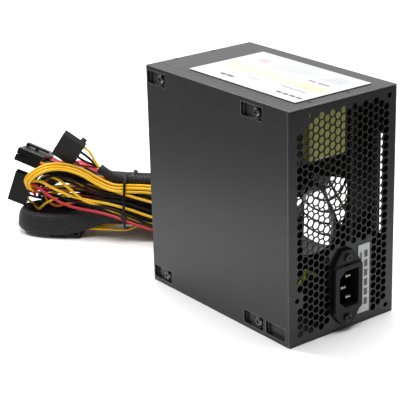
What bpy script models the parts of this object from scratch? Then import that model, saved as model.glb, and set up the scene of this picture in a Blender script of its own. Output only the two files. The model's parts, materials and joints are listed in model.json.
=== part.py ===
"""An ATX power supply unit, standing on its 86 x 140 mm side, with its folded bundle of output cables.

Metres, +Z up. The origin is the middle of the unit's footprint, without the cables. +X is the rear
panel with the mains inlet, -X the panel that the cables leave, +Y the fan side, -Y the plain side.
"""

import math

import bmesh
import bpy
from mathutils import Matrix, Vector

# The case: the standard 150 x 86 x 140 mm.
CASE_LENGTH = 0.140
CASE_DEPTH = 0.086
CASE_HEIGHT = 0.150
SHEET = 0.0008
GAP = 0.0003
LIP = 0.010
INLET_PROUD = 0.0045
GUARD_PROUD = 0.004
REAR_X = (CASE_LENGTH - INLET_PROUD) / 2
CABLE_X = REAR_X - CASE_LENGTH
FAN_Y = (CASE_DEPTH - GUARD_PROUD) / 2
PLAIN_Y = FAN_Y - CASE_DEPTH
TOP_Z = CASE_HEIGHT

# The pockets along the plain side, measured from the rear panel: (near end, far end).
POCKET_DEPTH = 0.0024
POCKET_HEIGHT = 0.0086
POCKET_EDGE = 0.0030
POCKETS_UPPER = ((0.120, 0.1388), (0.024, 0.0435))
POCKETS_LOWER = ((0.120, 0.1388), (0.0248, 0.0437), (0.0044, 0.0225))
SCREW_PLACES = (0.126, 0.0305)
SCREW_HEAD_RADIUS = 0.0032
SCREW_RADIUS = 0.0015
SCREW_CLEARANCE = 0.0019

# The air slots above the cable exit.
AIR_SLOTS = 8
AIR_SLOT_PITCH = 0.008
AIR_SLOT_WIDTH = 0.0028
AIR_SLOT_FIRST = 0.012
AIR_SLOT_HEIGHTS = (0.085, 0.125)

# The rear panel: the four case mounting holes, as (from the plain side, height).
CASE_HOLES = ((0.016, 0.144), (0.080, 0.144), (0.080, 0.006), (0.006, 0.030))
CASE_HOLE_RADIUS = 0.0017
FLANGE = 0.010

# The two labels: X from the rear panel, Y from the plain side, and Z from the floor.
LABEL_THICK = 0.0002
RATING_LABEL_X = (0.010, 0.112)
RATING_LABEL_Y = (0.0135, 0.0745)
VOLTAGE_LABEL_Y = (0.0552, 0.0650)
VOLTAGE_LABEL_Z = (0.007, 0.053)

# The mains inlet.
INLET_Y = PLAIN_Y + 0.0445
INLET_Z = 0.029
INLET_EAR_SPACING = 0.040
INLET_FLANGE = (0.0225, 0.0500)
INLET_SHROUD = (0.0225, 0.0310)
INLET_BODY = (0.0180, 0.0280)
INLET_OPENING = (0.0156, 0.0240)
INLET_CHAMFER = 0.0045
INLET_FLANGE_FRONT = 0.0030
INLET_CAVITY = 0.0165
INLET_BODY_DEPTH = 0.0145
PIN_SPACING = 0.0070
PIN_WIDE = 0.0040
PIN_THICK = 0.0020
PIN_OFFSET = 0.0020
PIN_RECESS = 0.0028
PIN_BACK = 0.0205
EAR_HOLE_RADIUS = 0.0017

# The 120 mm fan.
FAN_X = REAR_X - 0.073
FAN_Z = 0.083
FAN_SIDE = 0.120
FAN_THICK = 0.025
FAN_BORE = 0.058
FAN_FLANGE = 0.0040
FAN_HOLE_SPACING = 0.105
FAN_BACK = FAN_Y - SHEET - GAP
FAN_FRONT = FAN_BACK - FAN_THICK
HUB_RADIUS = 0.0205
BLADES = 7
BLADE_TIP = 0.0562
BLADE_ANGLE = math.radians(-25)
BLADE_TWIST = 40.0
BLADE_SWEEP = 0.45
BLADE_BOW = 0.0016
STRUTS = 4
STRUT_ANGLE = math.radians(11)
GUARD_RINGS = (0.012, 0.020, 0.028, 0.036, 0.044, 0.052)
WIRE = 0.0015
VENT_SLOT_X = REAR_X - 0.0115
VENT_SLOT = (0.0022, 0.066)

# The circuit board, on four standoffs inside the plain side.
BOARD_Y = PLAIN_Y + 0.0075
BOARD_THICK = 0.0016
BOARD_TOP = BOARD_Y + BOARD_THICK + GAP
BOARD_X = (CABLE_X + 0.006, REAR_X - 0.007)
BOARD_Z = (0.007, 0.143)

# The cable bundle lies in a line that starts behind the cable panel and runs out and forwards.
GROMMET_Y = 0.021
GROMMET_Z = 0.030
GROMMET_HOLE = 0.0150
HANK_START = Vector((-0.1313, -0.005, 0.0))
HANK_ANGLE = math.radians(222)
HANK_ALONG = Vector((math.cos(HANK_ANGLE), math.sin(HANK_ANGLE), 0))
HANK_FRONT = Vector((-HANK_ALONG.y, HANK_ALONG.x, 0))
HANK_THICK = (-0.038, -0.001)
HANK_TOP = 0.042
TIES = (0.018, -0.018)
TRUNK_RADIUS = 0.0105
LATCH_LIFT = 0.0015
MAIN_ROLL = math.radians(17)
PERIPHERAL_LEAN = math.radians(-15)

# The last stretch of each lead, to its connector: radius, then (along the bundle, to its front, height).
LEADS = {
    "main_lead": (
        0.0045,
        (
            (0.0560, -0.0300, 0.0500),
            (0.0660, -0.0302, 0.0477),
            (0.0750, -0.0305, 0.0460),
            (0.0806, -0.0307, 0.0446),
            (0.0842, -0.0307, 0.0459),
        ),
    ),
    "peripheral_lead": (
        0.0030,
        (
            (0.0200, -0.0070, 0.0467),
            (0.0340, -0.0070, 0.0490),
            (0.0440, -0.0067, 0.0555),
            (0.0516, -0.0065, 0.0604),
        ),
    ),
    "sata_lead_1": (
        0.0022,
        (
            (0.0806, -0.0170, 0.0290),
            (0.0840, -0.0165, 0.0282),
            (0.0885, -0.0135, 0.0283),
            (0.0922, -0.0120, 0.0293),
        ),
    ),
    "sata_lead_2": (
        0.0022,
        (
            (0.0462, -0.0200, 0.0034),
            (0.0520, -0.0200, 0.0036),
            (0.0605, -0.0172, 0.0038),
            (0.0640, -0.0100, 0.0038),
        ),
    ),
    "cpu_lead": (
        0.0042,
        (
            (0.0100, -0.0436, 0.0140),
            (0.0250, -0.0470, 0.0090),
            (0.0380, -0.0524, 0.0055),
            (0.0495, -0.0530, 0.0050),
        ),
    ),
}

BLACK_STEEL = ("black_steel", (0.035, 0.035, 0.037), 0.38, 0.6)
GALVANISED = ("galvanised_steel", (0.55, 0.56, 0.56), 0.35, 1.0)
BRIGHT_STEEL = ("bright_steel", (0.72, 0.72, 0.70), 0.22, 1.0)
BRASS = ("brass", (0.75, 0.68, 0.50), 0.25, 1.0)
ALUMINIUM = ("aluminium", (0.62, 0.63, 0.64), 0.40, 1.0)
BLACK_PLASTIC = ("black_plastic", (0.02, 0.02, 0.022), 0.45, 0.0)
FAN_PLASTIC = ("fan_plastic", (0.015, 0.015, 0.016), 0.40, 0.0)
PAPER = ("label_paper", (0.88, 0.88, 0.86), 0.55, 0.0)
BOARD_GREEN = ("board", (0.08, 0.16, 0.07), 0.50, 0.0)
TAPE_YELLOW = ("yellow_tape", (0.62, 0.60, 0.16), 0.45, 0.0)
CAPACITOR = ("capacitor_sleeve", (0.03, 0.035, 0.05), 0.35, 0.0)
FILM = ("film_capacitor", (0.70, 0.55, 0.08), 0.45, 0.0)
COPPER = ("enamelled_copper", (0.62, 0.28, 0.10), 0.35, 0.8)
GLASS = ("fuse_glass", (0.70, 0.72, 0.70), 0.10, 0.0)
EARTH = ("earth_wire", (0.55, 0.60, 0.05), 0.45, 0.0)
SLEEVE = ("braided_sleeve", (0.05, 0.05, 0.05), 0.60, 0.0)
NYLON = ("black_nylon", (0.02, 0.02, 0.02), 0.40, 0.0)


def clear_scene():
    for obj in list(bpy.data.objects):
        bpy.data.objects.remove(obj, do_unlink=True)


def finish_of(look):
    name, colour, roughness, metallic = look
    return material(name, colour, roughness, metallic)


def material(name, colour, roughness, metallic):
    made = bpy.data.materials.new(name)
    made.use_nodes = True
    shader = made.node_tree.nodes["Principled BSDF"]
    shader.inputs["Base Color"].default_value = (*colour, 1)
    shader.inputs["Roughness"].default_value = roughness
    shader.inputs["Metallic"].default_value = metallic
    return made


def node(name, bm, look, place=None):
    """One object from a bmesh, moved to place, which is a point or a matrix."""
    bmesh.ops.recalc_face_normals(bm, faces=bm.faces)
    mesh = bpy.data.meshes.new(name)
    bm.to_mesh(mesh)
    bm.free()
    mesh.materials.append(finish_of(look))
    return linked(name, mesh, place)


def linked(name, mesh, place=None):
    obj = bpy.data.objects.new(name, mesh)
    bpy.context.collection.objects.link(obj)
    if isinstance(place, Matrix):
        obj.matrix_world = place
    elif place is not None:
        obj.location = place
    return obj


def smooth(obj, angle=40):
    obj.data.shade_smooth()
    obj.data.set_sharp_from_angle(angle=math.radians(angle))
    return obj


def block(low, high):
    """A box whose corners are exactly at the values given, so that boxes that share a face coincide."""
    bm = bmesh.new()
    bmesh.ops.create_cube(bm, size=2)
    for vert in bm.verts:
        vert.co = [h if c > 0 else l for c, l, h in zip(vert.co, low, high)]
    return bm


def turn_to(axis):
    """The rotation that takes +Z to the axis."""
    return Vector(axis).to_track_quat("Z", "Y").to_matrix().to_4x4()


def rod(start, axis, length, radius, sides=20):
    """A cylinder from start along axis."""
    bm = bmesh.new()
    middle = Vector(start) + Vector(axis) * length / 2
    matrix = Matrix.Translation(middle) @ turn_to(axis)
    bmesh.ops.create_cone(
        bm, cap_ends=True, segments=sides, radius1=radius, radius2=radius, depth=length, matrix=matrix
    )
    return bm


def prism(outline, low, high, place):
    """An outline in local X and Y, extruded from low to high along local Z, and moved by place."""
    bm = bmesh.new()
    base = [bm.verts.new((x, y, low)) for x, y in outline]
    face = bm.faces.new(base)
    grown = bmesh.ops.extrude_face_region(bm, geom=[face])["geom"]
    raised = [v for v in grown if isinstance(v, bmesh.types.BMVert)]
    bmesh.ops.translate(bm, verts=raised, vec=(0, 0, high - low))
    bmesh.ops.transform(bm, matrix=place, verts=bm.verts)
    bmesh.ops.recalc_face_normals(bm, faces=bm.faces)
    return bm


def turned(profile, place, sides=32):
    """A closed body of revolution about local Z, from (radius, height) points; its ends lie on the axis."""
    bm = bmesh.new()
    poles = [bm.verts.new((0, 0, profile[k][1])) if profile[k][0] == 0 else None for k in (0, -1)]
    inner = [p for p in profile if p[0] > 0]
    rings = []
    for radius, height in inner:
        turns = [2 * math.pi * k / sides for k in range(sides)]
        rings.append([bm.verts.new((radius * math.cos(a), radius * math.sin(a), height)) for a in turns])
    if poles[0] is None:
        rings.append(rings[0])
    for a, b in zip(rings, rings[1:]):
        for k in range(sides):
            j = (k + 1) % sides
            bm.faces.new((a[k], a[j], b[j], b[k]))
    for pole, ring in ((poles[0], rings[0]), (poles[1], rings[-1])):
        if pole is not None:
            for k in range(sides):
                bm.faces.new((pole, ring[(k + 1) % sides], ring[k]))
    bmesh.ops.transform(bm, matrix=place, verts=bm.verts)
    bmesh.ops.recalc_face_normals(bm, faces=bm.faces)
    return bm


def combined(base, others, operation):
    """A new bmesh: base with each of others joined on or cut out, by exact Booleans."""
    objects = []
    for bm in (base, *others):
        mesh = bpy.data.meshes.new("tool")
        bm.to_mesh(mesh)
        bm.free()
        objects.append(linked("tool", mesh))
    for tool in objects[1:]:
        modifier = objects[0].modifiers.new("boolean", "BOOLEAN")
        modifier.operation = operation
        modifier.solver = "EXACT"
        modifier.object = tool
    bpy.context.view_layer.update()
    result = bmesh.new()
    result.from_mesh(objects[0].evaluated_get(bpy.context.evaluated_depsgraph_get()).data)
    for obj in objects:
        mesh = obj.data
        bpy.data.objects.remove(obj)
        bpy.data.meshes.remove(mesh)
    return result


def joined(base, *others):
    return combined(base, others, "UNION")


def cut(base, *others):
    return combined(base, others, "DIFFERENCE")


def facing(axis, point):
    """The placement that stands local Z along axis at a point, with local X level."""
    x, y, z = axis
    if abs(x) > 0.5:
        basis = Matrix(((0, 0, x), (1, 0, 0), (0, x, 0))).to_4x4()
    else:
        basis = Matrix(((1, 0, 0), (0, 0, y), (0, -y, 0))).to_4x4()
    return Matrix.Translation(point) @ basis


# ---------------------------------------------------------------- case


def pocket_box(near, far, height, grow, depth):
    """The box of one pocket; near and far are measured from the rear panel, height is its lower edge."""
    front = PLAIN_Y - GAP if grow == 0 else PLAIN_Y + SHEET / 2
    low = (REAR_X - far - grow, front, height - grow)
    high = (REAR_X - near + grow, PLAIN_Y + depth, height + POCKET_HEIGHT + grow)
    return block(low, high)


def pocket_rows():
    upper = TOP_Z - POCKET_EDGE - POCKET_HEIGHT
    return [(*span, upper) for span in POCKETS_UPPER] + [(*span, POCKET_EDGE) for span in POCKETS_LOWER]


def cover_screw_points():
    heights = (POCKET_EDGE + POCKET_HEIGHT / 2, TOP_Z - POCKET_EDGE - POCKET_HEIGHT / 2)
    return [(REAR_X - along, height) for height in heights for along in SCREW_PLACES]


def chassis_shell():
    inner_x = REAR_X - SHEET - GAP
    far_y = FAN_Y - SHEET - GAP
    under = TOP_Z - SHEET - GAP
    wall = block((CABLE_X, PLAIN_Y, 0), (inner_x, PLAIN_Y + SHEET, TOP_Z))
    panel = block((CABLE_X, PLAIN_Y, SHEET + GAP), (CABLE_X + SHEET, far_y, under))
    lips = [
        block((CABLE_X, PLAIN_Y, z), (REAR_X, PLAIN_Y + LIP - GAP, z + SHEET)) for z in (0, TOP_Z - SHEET)
    ]
    depth = POCKET_DEPTH + SHEET
    trays = [pocket_box(near, far, z, SHEET - GAP, depth) for near, far, z in pocket_rows()]
    shell = joined(wall, panel, *lips, *trays)
    hollows = [pocket_box(near, far, z, 0, POCKET_DEPTH) for near, far, z in pocket_rows()]
    holes = [
        rod((x, PLAIN_Y, z), (0, 1, 0), 2 * depth, SCREW_CLEARANCE, 12) for x, z in cover_screw_points()
    ]
    exit_hole = rod((CABLE_X - GAP, GROMMET_Y, GROMMET_Z), (1, 0, 0), 3 * SHEET, GROMMET_HOLE, 32)
    slots = []
    for k in range(AIR_SLOTS):
        y = PLAIN_Y + AIR_SLOT_FIRST + AIR_SLOT_PITCH * k
        low = (CABLE_X - GAP, y, AIR_SLOT_HEIGHTS[0])
        slots.append(block(low, (CABLE_X + 3 * SHEET, y + AIR_SLOT_WIDTH, AIR_SLOT_HEIGHTS[1])))
    node("chassis_shell", cut(shell, *hollows, *holes, exit_hole, *slots), BLACK_STEEL)


def rear_panel():
    low_z = SHEET + GAP
    high_z = TOP_Z - SHEET - GAP
    far_y = FAN_Y - SHEET - GAP
    plate = block((REAR_X - SHEET, PLAIN_Y, low_z), (REAR_X, far_y, high_z))
    flange_y = PLAIN_Y + LIP
    flanges = [
        block((REAR_X - FLANGE, flange_y, z), (REAR_X - SHEET / 2, far_y, z + SHEET))
        for z in (low_z, high_z - SHEET)
    ]
    holes = [
        rod((REAR_X - 3 * SHEET, PLAIN_Y + y, z), (1, 0, 0), 5 * SHEET, CASE_HOLE_RADIUS, 16)
        for y, z in CASE_HOLES
    ]
    back = REAR_X - 3 * SHEET
    holes += [rod((back, INLET_Y, z), (1, 0, 0), 5 * SHEET, EAR_HOLE_RADIUS, 12) for z in inlet_ears()]
    wide, tall = (size / 2 + GAP for size in INLET_BODY)
    low = (back, INLET_Y - wide, INLET_Z - tall)
    window = block(low, (REAR_X + SHEET, INLET_Y + wide, INLET_Z + tall))
    node("rear_panel", cut(joined(plate, *flanges), *holes, window), BLACK_STEEL)


def cover_tabs(side):
    """The tabs under the chassis lip and behind the pockets, at the top (side 1) or bottom (-1)."""
    tabs = []
    edge = TOP_Z if side > 0 else 0
    behind = PLAIN_Y + POCKET_DEPTH + SHEET + GAP
    for along in SCREW_PLACES:
        x = (REAR_X - along - 0.006, REAR_X - along + 0.006)
        under = edge - side * (SHEET + GAP)
        deep = under - side * SHEET
        foot = edge - side * 0.0125
        spans = (
            ((PLAIN_Y + LIP + SHEET, PLAIN_Y + LIP + 6 * SHEET), (edge - side * SHEET / 2, deep)),
            ((behind, PLAIN_Y + LIP + 3 * SHEET), (under, deep)),
            ((behind, behind + SHEET), (under, foot)),
        )
        for (y0, y1), (z0, z1) in spans:
            tabs.append(block((x[0], y0, min(z0, z1)), (x[1], y1, max(z0, z1))))
    return tabs


def cover_shell():
    fan_face = block((CABLE_X, FAN_Y - SHEET, 0), (REAR_X, FAN_Y, TOP_Z))
    edge = PLAIN_Y + LIP
    plates = [block((CABLE_X, edge, z), (REAR_X, FAN_Y, z + SHEET)) for z in (0, TOP_Z - SHEET)]
    shell = joined(fan_face, *plates, *cover_tabs(1), *cover_tabs(-1))
    back = FAN_Y - 3 * SHEET
    fan_hole = rod((FAN_X, back, FAN_Z), (0, 1, 0), 5 * SHEET, FAN_BORE, 48)
    screws = [rod((x, back, z), (0, 1, 0), 5 * SHEET, 0.0024, 12) for x, z in fan_corners()]
    wide, tall = (size / 2 for size in VENT_SLOT)
    low = (VENT_SLOT_X - wide, back, FAN_Z - tall)
    slot = block(low, (VENT_SLOT_X + wide, FAN_Y + SHEET, FAN_Z + tall))
    holes = [
        rod((x, PLAIN_Y + POCKET_DEPTH, z), (0, 1, 0), 0.006, SCREW_CLEARANCE, 12)
        for x, z in cover_screw_points()
    ]
    node("cover_shell", cut(shell, fan_hole, *screws, slot, *holes), BLACK_STEEL)


def screw_mesh(name, head_radius, head_height, radius, length, look):
    """A pan-head screw with a cross recess; local Z points out of the head, which stands on Z = 0."""
    profile = (
        (0, -length),
        (radius, -length),
        (radius, 0),
        (head_radius, 0),
        (head_radius, head_height * 0.55),
        (head_radius * 0.72, head_height),
        (0, head_height),
    )
    body = turned(profile, Matrix.Identity(4), 12)
    arm, half = head_radius * 0.55, head_radius * 0.13
    floor = head_height * 0.35
    cross = joined(
        block((-arm, -half, floor), (arm, half, 2 * head_height)),
        block((-half, -arm, floor), (half, arm, 2 * head_height)),
    )
    bm = cut(body, cross)
    mesh = bpy.data.meshes.new(name)
    bm.to_mesh(mesh)
    bm.free()
    mesh.materials.append(finish_of(look))
    return mesh


def cover_screws():
    mesh = screw_mesh("cover_screw", SCREW_HEAD_RADIUS, 0.0019, SCREW_RADIUS, 0.0045, BRIGHT_STEEL)
    seat = PLAIN_Y + POCKET_DEPTH - GAP
    for number, (x, z) in enumerate(cover_screw_points(), 1):
        smooth(linked(f"cover_screw_{number}", mesh.copy(), facing((0, -1, 0), (x, seat, z))))


def labels():
    seat = TOP_Z + GAP
    low = (REAR_X - RATING_LABEL_X[1], PLAIN_Y + RATING_LABEL_Y[0], seat)
    high = (REAR_X - RATING_LABEL_X[0], PLAIN_Y + RATING_LABEL_Y[1], seat + LABEL_THICK)
    node("rating_label", block(low, high), PAPER)
    seat = REAR_X + GAP
    low = (seat, PLAIN_Y + VOLTAGE_LABEL_Y[0], VOLTAGE_LABEL_Z[0])
    high = (seat + LABEL_THICK, PLAIN_Y + VOLTAGE_LABEL_Y[1], VOLTAGE_LABEL_Z[1])
    node("voltage_label", block(low, high), PAPER)


# ---------------------------------------------------------------- inlet


def chamfered(size, corner, left_only=False):
    """A rectangle's outline with its corners cut; only those at -X where left_only."""
    wide, tall = size[0] / 2, size[1] / 2
    right = 0.0004 if left_only else corner
    return [
        (-wide + corner, -tall),
        (wide - right, -tall),
        (wide, -tall + right),
        (wide, tall - right),
        (wide - right, tall),
        (-wide + corner, tall),
        (-wide, tall - corner),
        (-wide, -tall + corner),
    ]


def inlet():
    place = facing((1, 0, 0), (REAR_X, INLET_Y, INLET_Z))
    wide, tall = INLET_FLANGE[0] / 2, INLET_FLANGE[1] / 2
    ear = 0.0038
    waist = INLET_SHROUD[1] / 2
    diamond = [
        (wide, -waist),
        (wide, waist),
        (ear, tall),
        (-ear, tall),
        (-wide, waist),
        (-wide, -waist),
        (-ear, -tall),
        (ear, -tall),
    ]
    flange = prism(diamond, 3 * GAP, INLET_FLANGE_FRONT, place)
    shroud = prism(chamfered(INLET_SHROUD, 0.0015), 3 * GAP, INLET_PROUD, place)
    body = prism(chamfered(INLET_BODY, 0.0030, True), -INLET_BODY_DEPTH, 0.0020, place)
    solid = joined(flange, shroud, body)
    floor = INLET_PROUD - INLET_CAVITY
    cavity = prism(chamfered(INLET_OPENING, INLET_CHAMFER, True), floor, INLET_PROUD + 0.001, place)
    ears = [rod((REAR_X, INLET_Y, z), (1, 0, 0), INLET_PROUD, EAR_HOLE_RADIUS, 12) for z in inlet_ears()]
    wide, tall = PIN_WIDE / 2 + GAP, PIN_THICK / 2 + GAP
    slots = [
        block((REAR_X - PIN_BACK - 0.001, y - wide, z - tall), (REAR_X, y + wide, z + tall))
        for _, y, z in inlet_pins()
    ]
    node("inlet_housing", cut(solid, cavity, *ears, *slots), BLACK_PLASTIC)
    tip = REAR_X + INLET_PROUD - PIN_RECESS
    for name, y, z in inlet_pins():
        low = (REAR_X - PIN_BACK, y - PIN_WIDE / 2, z - PIN_THICK / 2)
        blade = block(low, (tip, y + PIN_WIDE / 2, z + PIN_THICK / 2))
        front = [e for e in blade.edges if all(v.co.x > REAR_X for v in e.verts)]
        bmesh.ops.bevel(blade, geom=front, offset=PIN_THICK * 0.3, segments=1, affect="EDGES")
        node(f"inlet_pin_{name}", blade, BRASS)
    mesh = screw_mesh("inlet_screw", 0.0027, 0.0014, 0.0014, 0.0055, BLACK_STEEL)
    for number, z in enumerate(inlet_ears(), 1):
        seat = (REAR_X + INLET_FLANGE_FRONT + GAP, INLET_Y, z)
        smooth(linked(f"inlet_screw_{number}", mesh.copy(), facing((1, 0, 0), seat)))


def inlet_ears():
    return [INLET_Z + side * INLET_EAR_SPACING / 2 for side in (-1, 1)]


def inlet_pins():
    outer = INLET_Y + PIN_OFFSET
    return (
        ("live", outer, INLET_Z + PIN_SPACING),
        ("neutral", outer, INLET_Z - PIN_SPACING),
        ("earth", INLET_Y - PIN_OFFSET, INLET_Z),
    )


# ---------------------------------------------------------------- fan


def fan_corners():
    half = FAN_HOLE_SPACING / 2
    return [(FAN_X + side * half, FAN_Z + up * half) for up in (-1, 1) for side in (-1, 1)]


def rounded_square(side, radius, steps=4):
    points = []
    half = side / 2 - radius
    for quarter, (x, y) in enumerate(((1, 1), (-1, 1), (-1, -1), (1, -1))):
        for k in range(steps + 1):
            a = math.pi / 2 * (quarter + k / steps)
            points.append((x * half + radius * math.cos(a), y * half + radius * math.sin(a)))
    return points


def fan_frame():
    place = facing((0, 1, 0), (FAN_X, FAN_FRONT, FAN_Z))
    outline = rounded_square(FAN_SIDE, 0.0075)
    flanges = [prism(outline, low, low + FAN_FLANGE, place) for low in (0, FAN_THICK - FAN_FLANGE)]
    wall = rod((FAN_X, FAN_FRONT + 0.001, FAN_Z), (0, 1, 0), FAN_THICK - 0.002, FAN_SIDE / 2 - 0.0001, 48)
    inside, thick = FAN_FRONT + 0.001, FAN_THICK - 0.002
    posts = [rod((x, inside, z), (0, 1, 0), thick, 0.0042, 12) for x, z in fan_corners()]
    solid = joined(flanges[0], flanges[1], wall, *posts)
    outside, through = FAN_FRONT - 0.001, FAN_THICK + 0.002
    bore = rod((FAN_X, outside, FAN_Z), (0, 1, 0), through, FAN_BORE, 48)
    holes = [rod((x, outside, z), (0, 1, 0), through, 0.0023, 12) for x, z in fan_corners()]
    solid = cut(solid, bore, *holes)
    profile = (
        (0, 0),
        (0.0200, 0),
        (0.0200, 0.0025),
        (0.0045, 0.0025),
        (0.0045, 0.0160),
        (0.0019, 0.0160),
        (0.0019, 0.0015),
        (0, 0.0015),
    )
    stator = turned(profile, place)
    struts = []
    for k in range(STRUTS):
        angle = STRUT_ANGLE + 2 * math.pi * k / STRUTS
        strut = block((0.018, 0, -0.0025), (FAN_BORE + 0.0008, 0.0026, 0.0025))
        turn = Matrix.Translation((FAN_X, FAN_FRONT, FAN_Z)) @ Matrix.Rotation(-angle, 4, "Y")
        bmesh.ops.transform(strut, matrix=turn, verts=strut.verts)
        struts.append(strut)
    node("fan_frame", joined(solid, stator, *struts), FAN_PLASTIC)


def blade(number):
    """One twisted blade about the Y axis, from inside the hub wall to the tip."""
    middle = BLADE_ANGLE + 2 * math.pi * number / BLADES
    bm = bmesh.new()
    spans, chords = 3, 4
    low, high = -0.0088, 0.0088
    sides = []
    for face in (-1, 1):
        grid = []
        for i in range(spans + 1):
            share = i / spans
            radius = HUB_RADIUS - 0.0012 + (BLADE_TIP - HUB_RADIUS + 0.0012) * share
            row = []
            for j in range(chords + 1):
                along = low + (high - low) * j / chords
                bow = BLADE_BOW * math.sin(math.pi * j / chords) * share
                half = 0.0007 * (1 - 0.4 * share) * (1 if 0 < j < chords else 0.55)
                angle = middle - (along + bow) * BLADE_TWIST - BLADE_SWEEP * share
                slope = math.atan(radius * BLADE_TWIST)
                angle += face * half * math.cos(slope) / radius
                shift = face * half * math.sin(slope)
                point = (radius * math.cos(angle), along + shift, radius * math.sin(angle))
                row.append(bm.verts.new(point))
            grid.append(row)
        sides.append(grid)
    lower, upper = sides
    for i in range(spans):
        for j in range(chords):
            bm.faces.new((lower[i][j], lower[i][j + 1], lower[i + 1][j + 1], lower[i + 1][j]))
            bm.faces.new((upper[i][j], upper[i + 1][j], upper[i + 1][j + 1], upper[i][j + 1]))
    for i in range(spans):
        for j in (0, chords):
            bm.faces.new((lower[i][j], lower[i + 1][j], upper[i + 1][j], upper[i][j]))
    for j in range(chords):
        for i in (0, spans):
            bm.faces.new((lower[i][j], upper[i][j], upper[i][j + 1], lower[i][j + 1]))
    bmesh.ops.recalc_face_normals(bm, faces=bm.faces)
    return bm


def fan_rotor():
    """The rotor cup, its shaft and its blades, about the Y axis through its origin."""
    place = facing((0, 1, 0), (0, 0, 0))
    cup = (
        (0, 0.0100),
        (HUB_RADIUS - 0.001, 0.0100),
        (HUB_RADIUS, 0.0090),
        (HUB_RADIUS, -0.0092),
        (HUB_RADIUS - 0.0018, -0.0092),
        (HUB_RADIUS - 0.0018, 0.0075),
        (0.0014, 0.0075),
        (0.0014, -0.0098),
        (0, -0.0098),
    )
    rotor = joined(turned(cup, place, 28), *[blade(k) for k in range(BLADES)])
    smooth(node("fan_rotor", rotor, FAN_PLASTIC, (FAN_X, FAN_FRONT + 0.0130, FAN_Z)))


def fan_guard():
    """Flat-lying wire rings on four legs, each leg ending in an eye round a screw."""
    eye_y = FAN_Y + GAP
    leg_y = (eye_y + 0.0001, eye_y + WIRE - 0.0001)
    ring_y = (leg_y[1] - 0.0003, leg_y[1] + 0.0012)
    parts = []
    for x, z in fan_corners():
        reach = math.hypot(x - FAN_X, z - FAN_Z)
        angle = math.atan2(z - FAN_Z, x - FAN_X)
        leg = block((GUARD_RINGS[0] - 0.001, leg_y[0], -WIRE / 2), (reach - 0.0030, leg_y[1], WIRE / 2))
        turn = Matrix.Translation((FAN_X, 0, FAN_Z)) @ Matrix.Rotation(-angle, 4, "Y")
        bmesh.ops.transform(leg, matrix=turn, verts=leg.verts)
        eye = turned(
            ((0.0026, 0), (0.0026, WIRE), (0.0042, WIRE), (0.0042, 0)), facing((0, 1, 0), (x, eye_y, z)), 12
        )
        parts += [leg, eye]
    for radius in GUARD_RINGS:
        profile = [
            (radius - WIRE / 2, 0),
            (radius - WIRE / 2, ring_y[1] - ring_y[0]),
            (radius + WIRE / 2, ring_y[1] - ring_y[0]),
            (radius + WIRE / 2, 0),
        ]
        parts.append(turned(profile, facing((0, 1, 0), (FAN_X, ring_y[0], FAN_Z)), 12 + round(radius * 400)))
    node("fan_guard", joined(*parts), BRIGHT_STEEL)


def fan_screws():
    seat = FAN_Y + 2 * GAP + WIRE
    head = FAN_Y + GUARD_PROUD - seat
    mesh = screw_mesh("fan_screw", 0.0038, head, 0.0019, 0.0120, BRIGHT_STEEL)
    for number, (x, z) in enumerate(fan_corners(), 1):
        smooth(linked(f"fan_screw_{number}", mesh.copy(), facing((0, 1, 0), (x, seat, z))))


# ---------------------------------------------------------------- electronics


def board_corners():
    columns = (BOARD_X[0] + 0.0075, BOARD_X[1] - 0.0075)
    return [(x, z) for x in columns for z in (BOARD_Z[0] + 0.010, BOARD_Z[1] - 0.010)]


def circuit_board():
    plate = block((BOARD_X[0], BOARD_Y, BOARD_Z[0]), (BOARD_X[1], BOARD_Y + BOARD_THICK, BOARD_Z[1]))
    holes = [rod((x, BOARD_Y - 0.001, z), (0, 1, 0), 0.004, 0.0021, 12) for x, z in board_corners()]
    node("circuit_board", cut(plate, *holes), BOARD_GREEN)
    foot = PLAIN_Y + SHEET + GAP
    neck = BOARD_Y - GAP
    top = BOARD_TOP
    profile = (
        (0, 0),
        (0.0030, 0),
        (0.0030, neck - foot),
        (0.0017, neck - foot),
        (0.0017, top - foot),
        (0.0029, top - foot),
        (0.0029, top + 0.0012 - foot),
        (0, top + 0.0016 - foot),
    )
    for number, (x, z) in enumerate(board_corners(), 1):
        screw = turned(profile, facing((0, 1, 0), (x, foot, z)), 12)
        smooth(node(f"board_screw_{number}", screw, BRIGHT_STEEL))


def heatsink(name, z, x, thick, height, fins):
    """An upright plate along X, with a row of fins bent over from its outer edge."""
    low, high = x
    top = BOARD_TOP + height
    plate = block((low, BOARD_TOP, z - thick / 2), (high, top, z + thick / 2))
    pitch = (high - low) / fins
    bent = []
    for k in range(fins):
        start = low + (k + 0.15) * pitch
        side = -1 if k % 2 else 1
        z_edges = sorted((z, z + side * 0.010))
        bent.append(block((start, top - thick, z_edges[0]), (start + 0.7 * pitch, top, z_edges[1])))
    node(name, joined(plate, *bent), ALUMINIUM)


def can(name, x, z, radius, height, look):
    """A round capacitor standing on the board, with a rolled rim."""
    rim = radius * 0.10
    profile = (
        (0, 0),
        (radius - rim, 0),
        (radius, rim),
        (radius - 0.4 * rim, 2 * rim),
        (radius, 3 * rim),
        (radius, height - rim),
        (radius - rim, height),
        (0, height),
    )
    smooth(node(name, turned(profile, facing((0, 1, 0), (0, 0, 0)), 24), look, (x, BOARD_TOP, z)))


def ferrite(name, x, z, size, look, waist):
    """A wound transformer: a core block across a wider coil."""
    wide, tall, deep = size
    half = deep * waist / 2
    core = block((x - wide / 2, BOARD_TOP, z - half), (x + wide / 2, BOARD_TOP + tall, z + half))
    low = (x - wide * 0.34, BOARD_TOP + tall * 0.14, z - deep / 2)
    coil = block(low, (x + wide * 0.34, BOARD_TOP + tall * 0.86, z + deep / 2))
    node(name, joined(core, coil), look)


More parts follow.
